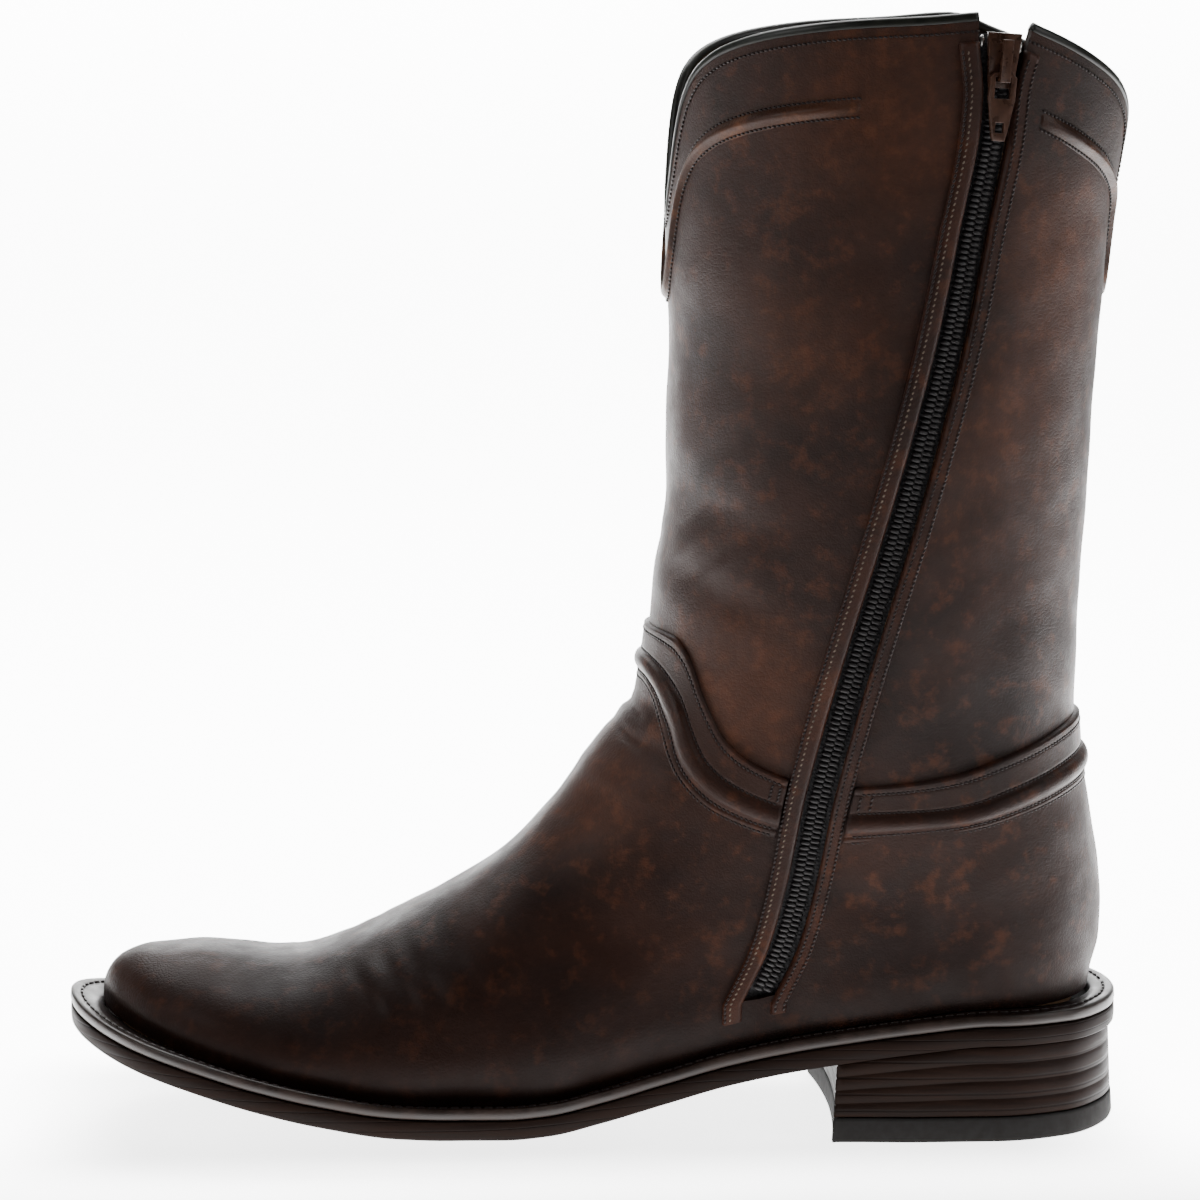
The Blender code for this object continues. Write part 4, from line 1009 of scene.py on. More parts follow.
# Creases and soft folds in side view: start and end as (along, level), then half width and
# depth in millimetres, below 0 for a ridge, and the sides on which they show.
CREASES = [
    # along, level, along, level, width, depth, side
    (0.490, 0.990, 0.400, 0.900, 3.2, 0.9, "both"),
    (0.478, 1.060, 0.425, 1.020, 2.4, 0.7, "both"),
    (0.515, 0.900, 0.430, 0.800, 3.5, -0.6, "both"),
    (0.545, 0.800, 0.450, 0.720, 4.0, 0.5, "both"),
    (0.735, 0.430, 0.700, 0.330, 1.6, 0.45, "both"),
    (0.720, 0.450, 0.690, 0.320, 1.4, -0.3, "both"),
    (0.705, 0.470, 0.668, 0.340, 1.8, 0.5, "both"),
    (0.680, 0.500, 0.640, 0.340, 2.2, 0.45, "both"),
    (0.650, 0.540, 0.600, 0.360, 3.0, 0.4, "both"),
    (0.448, 1.330, 0.330, 1.230, 5.0, 0.7, "both"),
    (0.472, 1.035, 0.452, 0.998, 1.5, 0.9, "both"),
    (0.481, 0.985, 0.452, 0.950, 1.5, 0.5, "both"),
    (0.492, 0.950, 0.462, 0.912, 1.6, 0.4, "both"),
    (0.443, 1.335, 0.395, 1.490, 1.5, 0.45, "inner"),
    (0.437, 1.305, 0.380, 1.455, 1.4, -0.35, "inner"),
    (0.428, 1.270, 0.360, 1.420, 2.0, 0.40, "inner"),
    (0.444, 1.480, 0.300, 1.370, 6.0, 0.6, "inner"),
    (0.250, 1.900, 0.120, 1.300, 9.0, 0.9, "inner"),
    (0.120, 1.500, 0.060, 1.120, 7.0, 0.8, "inner"),
    (0.060, 1.500, 0.200, 1.200, 6.0, 0.6, "outer"),
    (0.430, 1.600, 0.250, 1.500, 7.0, 0.7, "outer"),
    (0.300, 1.150, 0.090, 1.180, 5.0, 0.6, "outer"),
    (0.300, 0.620, 0.180, 0.560, 6.0, 0.35, "both"),
    (0.560, 0.560, 0.440, 0.480, 7.0, 0.5, "both"),
]
TOE_BOX_END = 0.788  # along, where the toe's stiffener ends
TOE_BOX_STEP = 0.30 * MM


def crease_depth(x, z, angles):
    """How far creases and folds sink the leather; those of one side fade over the ridge."""
    depth = np.zeros(np.shape(x))
    on_inner = ramp(np.sin(angles), -0.5, 0.0)
    on_outer = ramp(-np.sin(angles), -0.5, 0.0)
    for along_a, level_a, along_b, level_b, width, deep, side in CREASES:
        ax, az = x_of(along_a), float(z_of(level_a))
        bx, bz = x_of(along_b), float(z_of(level_b))
        length = math.hypot(bx - ax, bz - az)
        ux, uz = (bx - ax) / length, (bz - az) / length
        run = (x - ax) * ux + (z - az) * uz
        wave = 1.2 * MM * np.sin(run / (9 * MM) + along_a * 40)
        off = (x - ax) * -uz + (z - az) * ux + wave
        ends = ramp(run, -0.15 * length, 0.25 * length) * (1 - ramp(run, 0.6 * length, length))
        here = np.exp(-((off / (width * MM)) ** 2)) * ends * deep * MM
        if side == "inner":
            here = here * on_inner
        elif side == "outer":
            here = here * on_outer
        depth += here
    return depth


def soft_waves(points):
    """Slow unevenness of leather that has been worn."""
    x, y, z = points[..., 0], points[..., 1], points[..., 2]
    wave = np.sin(x * 95 + z * 60 + y * 45) * np.sin(z * 48 - x * 30 - y * 58)
    small = np.sin(x * 230 - z * 170 + y * 60) * np.sin(z * 140 + x * 90)
    return wave * 0.35 * MM + small * 0.12 * MM


def foxing(x, z, inner):
    """1 where the vamp or the counter covers the upper, 0 on the shaft."""
    along = along_of(x)
    level = level_of(z)
    line = np.where(inner, look(ZIP_X, z), look(SEAM_X, z))
    front_mid = (look(VAMP_TOP_RUN, along) + look(VAMP_LOW_RUN, along)) / 2
    back_mid = (look(COUNTER_TOP_RUN, along) + look(COUNTER_LOW_RUN, along)) / 2
    middle = np.where(x < line, front_mid, back_mid)
    covered = 1 - ramp(level, middle - 0.03, middle + 0.03)
    return covered * (1 - 0.85 * ramp(z_of(middle) - z, 9 * MM, 55 * MM))


def skin_angles(climbs):
    """Where the skin's columns stand on each row, from the slit's back edge to its front one."""
    front = turn_at_line(climbs, ZIP_X, lambda z: -slit_edge(z), 1)
    back = turn_at_line(climbs, ZIP_X, slit_edge, 1)
    centre = turn_at_line(climbs, ZIP_X, np.zeros_like, 1)
    shut = place(centre, climbs)[1] < float(z_of(ZIP_LINE[-1][1])) + SLIT_FOOT
    front = np.where(shut, centre - SLIT_SHUT, front)[:, None]
    back = np.where(shut, centre + SLIT_SHUT, back)[:, None]
    even = np.linspace(0, 1, SKIN_OUTER)
    outer = np.pi * (even - 0.5 * np.sin(2 * np.pi * even) / (2 * np.pi)) + np.pi
    return np.concatenate([
        back + (np.pi - back) * np.linspace(0, 1, SKIN_BACK),
        np.tile(outer[1:-1], (len(climbs), 1)),
        2 * np.pi + front * np.linspace(0, 1, SKIN_FRONT),
    ], axis=1)


def build_skin(material, lining):
    """The upper's leather in one sheet with its creases, its lining and the slit's edges."""
    climbs = np.linspace(0, 1, SKIN_ROWS) ** 1.1
    angles = skin_angles(climbs)
    climb = np.repeat(climbs[:, None], angles.shape[1], axis=1)
    bare = skin(angles, climb)
    outs = grid_normals(bare)
    x, z = bare[..., 0], bare[..., 2]
    rim_fade = 1 - ramp(climb, 0.90, 0.97)
    toe_fade = ramp(along_of(x), 0.93, 0.87)
    lift = foxing(x, z, wrapped(angles) >= 0) * FOXING_LIFT
    lift += (soft_waves(bare) * toe_fade - crease_depth(x, z, angles)) * rim_fade
    lift += ramp(along_of(x), TOE_BOX_END - 0.004, TOE_BOX_END + 0.004) * TOE_BOX_STEP
    points = bare + outs * lift[..., None]
    add_mesh("boot_skin", points, grid_faces(*angles.shape), material, slot="upper_leather",
             replaces=["upper"])
    base = bare[:, ::LINING_STEP]
    inside = (base - grid_normals(base) * WALL)[::LINING_STEP]
    faces = [tuple(reversed(face)) for face in grid_faces(*inside.shape[:2])]
    add_mesh("boot_lining", inside, faces, lining, slot="upper_leather")
    ends = [0, -1]
    edges = np.stack([points[:, ends], (bare - outs * WALL)[:, ends]], axis=2)
    faces = [
        face for k in range(2) for face in grid_faces(SKIN_ROWS, 2, first=k * SKIN_ROWS * 2)
    ]
    add_mesh("slit_edges", edges.swapaxes(0, 1), faces, material, slot="upper_leather")


# Bands, beads, facings, seam and binding

BAND_GROOVES = [
    # place and width as shares of the band's width, depth in mm; each holds a sewn row
    (0.13, 0.018, 0.22),
    (0.47, 0.022, 0.35),
    (0.86, 0.025, 0.40),
    (0.97, 0.020, 0.30),
]
BAND_FINE = 56  # points across
BAND_STEPS = 230  # points along
TACK_SPAN = (0.17, 0.43)  # the short rows across the band's end, as shares of its width
TACK_STEPS = (2, 5)
TACK_PITCH = 1.1 * MM


def band_height(share):
    """The band's face across its width: raw edge, flat, cord, two grooves, low edge."""
    share = np.asarray(share, float)
    edge = ramp(share, -0.004, 0.03)
    cord = np.clip(1 - ((share - 0.665) / 0.145) ** 2, 0, None) ** 0.6 * CORD_HEIGHT
    groove = 0.0
    for at, wide, deep in BAND_GROOVES:
        groove = groove + np.exp(-(((share - at) / wide) ** 2)) * deep * MM
    slope = (BAND_FACE - FOXING_LIFT) * ramp(share, 0.80, 1.0)
    return edge * (BAND_FACE - slope) + cord - groove


def build_fine_band(name, node_name, top, low, front, material, thread, slot_name):
    """A corded band from the zip's facing to the side seam, with its sewn rows."""
    way = -1 if front else 1
    near = way * (SLIT_WIDTH / 2 + (FACING_FRONT if front else FACING_BACK) + 0.2 * MM)
    seam = way * (SEAM_WIDTH / 2 + 0.1 * MM)
    knots = np.linspace(0, 1, 7)
    starts = [band_limit(top, low, ZIP_X, near, 1)(share) for share in knots]
    ends = [band_limit(top, low, SEAM_X, seam, -1)(share) for share in knots]
    if not front:
        ends = [end + 2 * np.pi for end in ends]

    def places(shares):
        begin = np.interp(shares, knots, starts)
        finish = np.interp(shares, knots, ends)
        t = np.linspace(0, 1, BAND_STEPS)[:, None]
        angles = begin + (finish - begin) * t
        high = climb_at_line(angles, top)
        down = climb_at_line(angles, low)
        return angles, high + (down - high) * shares

    shares = np.linspace(0, 1, BAND_FINE)
    shares[1] = 0.012
    angles, climbs = places(shares)
    lifts = np.broadcast_to(band_height(shares), angles.shape).copy()
    lifts[:, 0] = -0.2 * MM
    lifts[:, -1] = FOXING_LIFT - 0.35 * MM
    fine_strip(name, angles, climbs, lifts, -0.6 * MM, material, slot=slot_name,
               replaces=[node_name])
    for share, *_ in BAND_GROOVES:
        angles, climbs = places(np.array([share]))
        thread.line(angles[2:-2, 0], climbs[2:-2, 0], float(band_height(share)) + THREAD_LIFT)
    tacks = np.linspace(*TACK_SPAN, 12)
    angles, climbs = places(tacks)
    for step in TACK_STEPS:
        thread.line(angles[step], climbs[step], band_height(tacks) + THREAD_LIFT, TACK_PITCH)


BEAD_STEPS = 220  # points along
BEAD_ACROSS = 1.15  # reach of its face, as a share of half BEAD_WIDTH
BEAD_PROBE = 0.004  # climb over which the surface's own length is measured


def build_fine_bead(name, node_name, start, end, material, thread, slot_name):
    """A rounded corded line below the collar, with a sewn row on each side."""
    point = np.pi if start > 2 else 0.0
    ends = [np.sign(a - point) * abs(a - point) ** (1 / CROWDING) for a in (start, end)]
    root = np.linspace(*ends, BEAD_STEPS)
    angle = point + np.sign(root) * np.abs(root) ** CROWDING
    middle = climb_below_rim(angle, BEAD_DROP)
    step = skin(angle, middle + BEAD_PROBE) - skin(angle, middle)
    per = BEAD_PROBE / np.linalg.norm(step, axis=1)
    across = np.linspace(-BEAD_ACROSS, BEAD_ACROSS, 17)
    from_start = ramp(np.arange(BEAD_STEPS), -1, 16)
    blunt = np.minimum(from_start, from_start[::-1]) ** 0.6
    angles = np.repeat(angle[:, None], len(across), axis=1)
    climbs = middle[:, None] - across * per[:, None] * BEAD_WIDTH / 2
    dome = 0.5 + 0.5 * np.cos(np.pi * across / BEAD_ACROSS)
    lifts = dome * (CORD_RISE + 0.25 * MM) * blunt[:, None] - 0.08 * MM
    fine_strip(name, angles, climbs, lifts, -0.7 * MM, material, slot=slot_name,
               replaces=[node_name])
    for way in (-1, 1):
        thread.line(angle, middle + way * per * (BEAD_WIDTH / 2 - 0.1 * MM), 0.16 * MM)


UPRIGHT_SHARES = np.array([0, 0.04, 0.12, 0.3, 0.5, 0.7, 0.88, 0.96, 1.0])  # points across


def upright_piece(name, line, side, low, high, inside, outside, profile, material,
                  under=-0.5 * MM, **how):
    """A long strip beside or along an upright line, with a rounded face."""
    climbs = np.linspace(low, high, 260)[:, None]
    a = turn_at_line(climbs, line, inside, side)
    b = turn_at_line(climbs, line, outside, side)
    angles = a + (b - a) * UPRIGHT_SHARES
    climbs = np.broadcast_to(climbs, angles.shape)
    lifts = np.broadcast_to(profile(UPRIGHT_SHARES), angles.shape)
    return fine_strip(name, angles, climbs, lifts, under, material, **how)


def rounded(height, base):
    """A strip's face with eased edges."""

    def profile(shares):
        edge = np.minimum(ramp(shares, -0.02, 0.14), 1 - ramp(shares, 0.86, 1.02))
        return base + (height - base) * edge

    return profile


def constant(value):
    """The same offset at all heights."""
    return lambda z: np.full(np.shape(z), value)


def beside_slit(way, width):
    """An offset that keeps a distance from the slit's edge."""
    return lambda z: way * (slit_edge(z) + width)


BINDING_DOWN = 0.3 * MM  # below the rim
BINDING_OVER = 0.3 * MM  # beyond each face of the wall
BINDING_STRAIGHT = 0.6 * MM  # from the rim up to the roll
BINDING_TURN = 0.5 * MM  # turned in at each lower edge
BINDING_ROW = 2.9 * MM  # from the rim down to the sewn row


def build_fine_binding(material, thread):
    """The collar's binding: a smooth roll over the edge, down both faces."""
    slit_front, slit_back = (
        turn_at_line(np.ones(1), ZIP_X, beside_slit(way, 0.0), 1)[0] for way in (-1, 1)
    )
    even = np.linspace(0, 1, 150)
    front = slit_front * (1 - even) ** 1.3
    outer = -np.pi * (even - 0.6 * np.sin(2 * np.pi * even) / (2 * np.pi))
    back = -np.pi - (np.pi - slit_back) * even**1.3
    angles = np.r_[front, outer[1:], back[1:]]
    rims = skin(angles, np.ones(len(angles)))
    outs = normal(angles, np.ones(len(angles)))
    legs = unit(np.diff(rims, axis=0))
    ways = np.concatenate([legs[:1], legs[:-1] + legs[1:], legs[-1:]])
    ups = unit(np.cross(ways, outs))
    ups *= np.where(ups[:, 2:] < 0, -1, 1)
    middle = -WALL / 2
    half = WALL / 2 + BINDING_OVER
    section = [(middle + half, -BINDING_DOWN)]
    for turn in np.linspace(0, np.pi, 11):
        rise = BINDING_STRAIGHT + math.sin(turn) * BINDING_HEIGHT
        section.append((middle + half * math.cos(turn), rise))
    for lift in (-half, -half + BINDING_TURN, half - BINDING_TURN):
        section.append((middle + lift, -BINDING_DOWN))
    points = np.stack([rims + outs * lift + ups * rise for lift, rise in section], axis=1)
    faces = tube_faces(*points.shape[:2])
    add_mesh("binding_roll", points, faces, material, slot="binding_edge",
             replaces=["collar_binding"])
    row = rims + outs * THREAD_LIFT - ups * BINDING_ROW
    run = run_of(row)
    at = even_places(run, STITCH_PITCH)
    way, out = (unit(sampled(at, run, line)) for line in (ways, outs))
    thread.points(sampled(at, run, row), way, out)


COIL_PITCH = 1.55 * MM
COIL_MIDDLE = COIL_TOP - 0.75 * MM
TOOTH_OFF = 1.25 * MM  # of a tooth's middle from the zip's line
STOP_CLIMB = 0.985  # of the two metal stops at the zip's top
STOP_OFF = 5.5 * MM  # from the zip's line


def build_zip(metal, tape_cloth, nylon):
    """The zip's cloth, its coil and the two metal stops at its top."""
    half = TAPE_WIDTH / 2
    upright_piece("tape_cloth", ZIP_X, 1, TAPE_LOW, TAPE_HIGH, constant(-half), constant(half),
                  lambda shares: np.full(shares.shape, TAPE_TOP + 0.3 * MM), tape_cloth,
                  under=TAPE_TOP - TAPE_THICK, slot="tape_cloth", replaces=["zip_tape"])
    climbs = np.linspace(COIL_LOW, COIL_HIGH, 700)
    centre = turn_at_line(climbs, ZIP_X, constant(0.0), 1)
    points = lifted(centre, climbs, np.full(climbs.shape, COIL_MIDDLE))
    outs = normal(centre, climbs)
    run = run_of(points)
    teeth = Thread()
    for shift, way_sign in ((0.0, -1), (0.5, 1)):
        at = np.arange(0.5 + shift, run[-1] / COIL_PITCH - 0.5) * COIL_PITCH
        middle = sampled(at, run, points)
        ahead = sampled(at + 1 * MM, run, points)
        out = unit(sampled(at, run, outs))
        side = np.cross(unit(ahead - middle), out) * way_sign
        teeth.points(middle + side * TOOTH_OFF, side, out)
    climb = np.full(2, STOP_CLIMB)
    turn = turn_at_line(climb, ZIP_X, lambda z: np.array([-STOP_OFF, STOP_OFF]), 1)
    stops = lifted(turn, climb, np.full(2, TAPE_TOP + 0.9 * MM))
    way = unit(np.repeat((points[-1] - points[-9])[None], 2, axis=0))
    capsules("top_stops", stops, way, normal(turn, climb), 3.2 * MM, 0.8 * MM, metal, sides=8,
             slot="slider_metal")
    teeth.sew("coil_teeth", 3.1 * MM, 0.62 * MM, nylon, flat=1.2, slot="coil_nylon",
              replaces=["zip_coil"])


def bevelled(node_name, name, width, material, body):
    """A finer copy of a small hard piece, with eased edges."""
    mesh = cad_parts[node_name].data.copy()
    edit = bmesh.new()
    edit.from_mesh(mesh)
    bmesh.ops.remove_doubles(edit, verts=edit.verts, dist=1e-6)
    bmesh.ops.dissolve_limit(edit, angle_limit=0.01, verts=edit.verts, edges=edit.edges)
    edit.to_mesh(mesh)
    edit.free()
    mesh.materials.clear()
    mesh.materials.append(material)
    mesh.polygons.foreach_set("use_smooth", [True] * len(mesh.polygons))
    item = add_object(name, mesh)
    bevel = item.modifiers.new("eased", "BEVEL")
    bevel.width = width
    bevel.segments = 3
    bevel.limit_method = "ANGLE"
    bevel.angle_limit = math.radians(40)
    bevel.harden_normals = True
    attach(item, body)
    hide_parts(node_name)
    return item


# The sole's pieces


def outline_at(turn):
    """A point of the sole's outline."""
    share = (1 - np.cos(turn)) / 2
    inner_side = np.sin(turn) >= 0
    half = sole_half(share, inner_side)
    x = x_of(share)
    return x, np.where(inner_side, -half, half)


def outward(loop):
    """Outward directions of a closed plan."""
    way = np.roll(loop, -1, axis=0) - np.roll(loop, 1, axis=0)
    out = unit(np.column_stack([-way[:, 1], way[:, 0]]))
    return -out if ((loop - loop.mean(axis=0)) * out).sum() < 0 else out


def outline_loop(count):
    """The sole's plan."""
    loop = np.column_stack(outline_at(np.linspace(0, 2 * np.pi, count, endpoint=False)))
    return loop, outward(loop)


def spine_of(loop, back_end, toe_end):
    """For each outline point, the point on the middle line that its section starts from."""
    x = np.clip(loop[:, 0], toe_end, back_end)
    return np.column_stack([x, np.zeros(len(x))])


def edge_block(name, loop, outs, spine, section, material, **how):
    """Sweep a closed section round an outline.

    section rows: share of the way from the spine, outward shift, share of the height of the
    sole's underside, rise above that.
    """
    rings = []
    for share, shift, level, rise in section:
        plan = spine + (loop - spine) * share + outs * shift
        rings.append(np.column_stack([plan, sole_under(*plan.T) * level + rise]))
    faces = grid_faces(len(rings), len(loop), closed=True)
    return add_mesh(name, rings, faces, material, **how)


# Sections of the sole's and the welt's edge: share of the way from the spine, outward shift
# in mm, and rise in mm from the underside (SOLE_FOOT, WELT_FOOT) or the top (the others).
SOLE_FOOT = [(1, -0.9, 0.0), (1, -0.35, 0.15), (1, -0.05, 0.6)]
SOLE_TOP = [(1, 0.0, -0.4), (1, -0.3, 0.05), (1, -1.2, 0.1), (0.8, 0, 0.1), (0.4, 0, 0.1),
            (0.0, 0, 0.1)]
WELT_FOOT = [(0.80, 0, 0), (1, -1.0, 0), (1, -0.15, 0.2), (1, 0.15, 1.2)]
WELT_TOP = [(1, 0.0, -0.7), (1, -0.4, -0.15), (1, -1.0, 0), (1, -2.6, 0), (1, -3.1, -0.25),
            (1, -3.6, 0), (0.80, 0, 0)]
WELT_ROW = 3.1 * MM  # from the edge in to the sewn row
WELT_PITCH = 3.1 * MM
WELT_FROM = OUTSOLE_THICK + 0.35 * MM
WELT_TO = STACK - 0.5 * MM


def edge_rows(table, level, base):
    """Rows of a section from a table in mm."""
    return [(share, shift * MM, level, base + rise * MM) for share, shift, rise in table]


def build_fine_sole(edge_leather, bottom_leather, thread):
    """The outsole and the welt with eased edges, and the welt's sewn row."""
    loop, outs = outline_loop(420)
    spine = spine_of(loop, HEEL_BACK - 34 * MM, HEEL_BACK - LENGTH + 44 * MM)
    section = [(share, 0, 1, 0) for share in (0.0, 0.2, 0.4, 0.6, 0.8, 0.94)]
    section += edge_rows(SOLE_FOOT, 1, 0.0)
    section += [(1, 0.1 * MM, 1, OUTSOLE_THICK * 0.5)]
    section += edge_rows(SOLE_TOP, 1, OUTSOLE_THICK)
    edge_block("sole_edge", loop, outs, spine, section, edge_leather, slot="outsole_leather",
               replaces=["outsole"])
    section = edge_rows(WELT_FOOT, 1, WELT_FROM) + edge_rows(WELT_TOP, 1, WELT_TO)
    section += section[:1]
    edge_block("welt_strip", loop, outs, spine, section, bottom_leather, slot="welt_leather",
               replaces=["welt"])
    row = loop - outs * WELT_ROW
    row = np.column_stack([row, sole_under(*row.T) + WELT_TO])
    row = np.vstack([row, row[:1]])
    run = run_of(row)
    at = (np.arange(int(run[-1] / WELT_PITCH)) + 0.5) * WELT_PITCH
    centre = sampled(at, run, row)
    way = unit(sampled(at + 1 * MM, run, row) - centre)
    thread.points(centre, way, np.tile([0.0, 0.0, 1.0], (len(centre), 1)))


def heel_loop(count):
    """The heel's plan: round at the back, hollowed at the breast."""
    breast = float(turn_of(BREAST))
    turn = np.linspace(-breast, breast, count)
    x, y = outline_at(np.abs(turn))
    y = np.where(turn > 0, -np.abs(y), np.abs(y))
    sides = np.column_stack([x, y])
    across = np.linspace(-1, 1, 40)[1:-1]
    start, end = sides[-1], sides[0]
    face_y = start[1] + (end[1] - start[1]) * (across + 1) / 2
    face_x = x_of(BREAST) + BREAST_HOLLOW * (1 - across**2)
    loop = np.vstack([sides, np.column_stack([face_x, face_y])])
    return loop, outward(loop)


HEEL_LAYERS = 4
# Share of a layer's height, and inset of its face in mm
LAYER_FACE = [(0.02, 0.30), (0.10, 0.02), (0.5, 0.0), (0.90, 0.02), (0.98, 0.30)]
# The top lift's section: share of the way from the middle, outward shift and height in mm
LIFT_LOW = [(0.0, 0, 0), (0.5, 0, 0), (1, -1.0, 0), (1, -0.25, 0.2), (1, 0.0, 0.9)]
LIFT_HIGH = [(1, -0.15, 3.5), (1, -0.35, 6.2), (1, -0.7, 6.9), (1, -1.6, 7), (0.5, 0, 7),
             (0.0, 0, 7)]


def build_fine_heel(stack_leather, lift_rubber):
    """The heel's stack with its layers' joints, and the top lift with eased edges."""
    loop, outs = heel_loop(200)
    spine = np.zeros_like(loop)
    seat = LIFT_THICK + GAP

    def stacked(share, shift, t):
        return share, shift, t, seat * (1 - t) - 0.1 * MM * t

    section = [stacked(0.0, 0, 0), stacked(0.5, 0, 0), stacked(1, -1.2 * MM, 0)]
    for k in range(HEEL_LAYERS):
        for share, inset in LAYER_FACE:
            t = (k + share) / HEEL_LAYERS
            section.append(stacked(1, -(0.6 + t + inset) * MM, t))
    section += [stacked(1, -2.4 * MM, 1), stacked(0.5, 0, 1), stacked(0.0, 0, 1)]
    edge_block("heel_layers", loop, outs, spine, section, stack_leather, slot="heel_leather",
               replaces=["heel_stack"])
    section = edge_rows(LIFT_LOW + LIFT_HIGH, 0, 0.0)
    edge_block("heel_lift", loop, outs, spine, section, lift_rubber, slot="lift_rubber",
               replaces=["top_lift"])


# Light, floor and camera


FLOOR_GLOW = 10.0
WALL_GLOW = 13.0
STUDIO_HALF = 3.0  # half the floor's width, and its reach before the boot
WALL_AT = 2.0  # behind the boot
WALL_TOP = 2.6
WALL_BEND = 0.8  # radius of the curve from the floor to the wall
CAMERA_AT = (-0.1509, -1.0008, 0.3112)
CAMERA_TO = (-0.1066, 0.0, 0.1492)
LENS = 107.9
LIGHTS = [
    # name, place, target, size, power, spread
    ("soft_top", (-0.1, 0.85, 1.35), (-0.1, 0.35, 0.0), (2.4, 0.8), 20, 80),
    ("soft_left", (-1.25, -0.9, 1.1), (-0.12, 0, 0.12), (0.8, 0.8), 12, 180),
    ("soft_right", (1.1, -0.8, 0.9), (0.0, 0, 0.18), (0.5, 1.0), 9, 180),
]


def aim(item, at, target):
    """Put a light or the camera at a place, facing a target."""
    item.location = at
    item.rotation_mode = "QUATERNION"
    item.rotation_quaternion = (Vector(target) - Vector(at)).to_track_quat("-Z", "Y")


def area_light(name, at, target, size, power, spread):
    """A rectangular soft light."""
    light = bpy.data.lights.new(name, "AREA")
    light.spread = math.radians(spread)
    light.shape = "RECTANGLE"
    light.size, light.size_y = size
    light.energy = power
    item = add_object(name, light)
    aim(item, at, target)


def floor_glow(tree, x, y, z):
    """Glow of the floor and wall: dimmed under the boot as a painted contact shadow, and away from
    its background.
    """
    glow = ramp_node(tree, maths(tree, "ADD", y, z), -0.17, 0.0, 0.0, FLOOR_GLOW)
    glow = maths(tree, "ADD", glow, ramp_node(tree, z, 0.1, 0.5, 0.0, WALL_GLOW - FLOOR_GLOW))
    # Painted contact shadow: the glow dims over the boot's footprint
    off_middle = maths(tree, "ABSOLUTE", maths(tree, "ADD", x, 0.115))
    along_boot = ramp_node(tree, off_middle, 0.12, 0.18, 1.0, 0.0)
    across_boot = ramp_node(tree, maths(tree, "ABSOLUTE", y), 0.035, 0.075, 1.0, 0.0)
    under = times(tree, times(tree, along_boot, across_boot), 0.6)
    glow = times(tree, glow, maths(tree, "SUBTRACT", 1.0, under))
    off_side = maths(tree, "ABSOLUTE", maths(tree, "ADD", x, 0.12))
    glow = times(tree, glow, ramp_node(tree, off_side, 0.58, 0.85, 1.0, 0.06))
    return times(tree, glow, ramp_node(tree, z, 0.50, 0.85, 1.0, 0.05))


def build_studio():
    """A pale floor that curves up into a bright wall, and soft lights."""
    profile = [(-STUDIO_HALF, 0.0), (-1.0, 0.0), (0.0, 0.0), (0.7, 0.0),
               (WALL_AT - WALL_BEND, 0.0)]
    for turn in np.linspace(0, np.pi / 2, 12)[1:]:
        y = WALL_AT - WALL_BEND * (1 - math.sin(turn))
        profile.append((y, WALL_BEND * (1 - math.cos(turn))))
    profile.append((WALL_AT, WALL_TOP))
    points = [(x, y, z) for y, z in profile for x in (-STUDIO_HALF, STUDIO_HALF)]
    material, tree, shader = nodes_of("studio_floor")
    where, x, y, z = place_of(tree)
    feed(tree, shader, {
        "Base Color": (0.92, 0.92, 0.92, 1),
        "Roughness": 0.9,
        "Specular IOR Level": 0.1,
        "Emission Color": (1, 1, 1, 1),
        "Emission Strength": floor_glow(tree, x, y, z),
    })
    faces = grid_faces(len(profile), 2)
    item = add_object("studio_floor", smooth_mesh("studio_floor", points, faces, material))
    world = bpy.data.worlds.new("studio")
    world.use_nodes = True
    world.node_tree.nodes["Background"].inputs["Color"].default_value = (1, 1, 1, 1)
    world.node_tree.nodes["Background"].inputs["Strength"].default_value = 0.04
    bpy.context.scene.world = world
    for light in LIGHTS:
        area_light(*light)


def build_camera():
    """The photograph's view."""
    camera = bpy.data.cameras.new("photo_camera")
    camera.lens = LENS
    camera.sensor_width = 36.0
    item = add_object("photo_camera", camera)
    aim(item, CAMERA_AT, CAMERA_TO)
    bpy.context.scene.camera = item


# All of it, in order

DARK = (0.0085, 0.0030, 0.0018)
MID = (0.020, 0.0066, 0.0034)
WARM = (0.085, 0.026, 0.009)
# Painted sheen on the upper: lighter warm patches where soft sheen falls on the shaft and the
# instep
SHEEN_PATCHES = [
    # centre, size, strength
    ((-0.035, -0.05, 0.285), 0.045, 0.45),
    ((-0.060, -0.05, 0.225), 0.035, 0.40),
    ((-0.070, -0.04, 0.130), 0.035, 0.50),
    ((0.005, -0.05, 0.200), 0.060, 0.30),
    ((0.020, -0.04, 0.250), 0.035, 0.45),
    ((-0.110, -0.02, 0.095), 0.030, 0.35),
    ((-0.030, 0.05, 0.260), 0.060, 0.40),
    ((-0.070, 0.04, 0.150), 0.050, 0.40),
]
FACING_FACE = 1.35 * MM
STRIP_SUNK = -0.2 * MM  # where the strips' faces meet the leather


def build_bands(leather_look, thread):
    """The two corded bands."""
    build_fine_band("vamp_cord_band", "vamp_band", VAMP_TOP_RUN, VAMP_LOW_RUN, True,
                    leather_look, thread, "band_leather")
    build_fine_band("counter_cord_band", "counter_band", COUNTER_TOP_RUN, COUNTER_LOW_RUN, False,
                    leather_look, thread, "counter_leather")


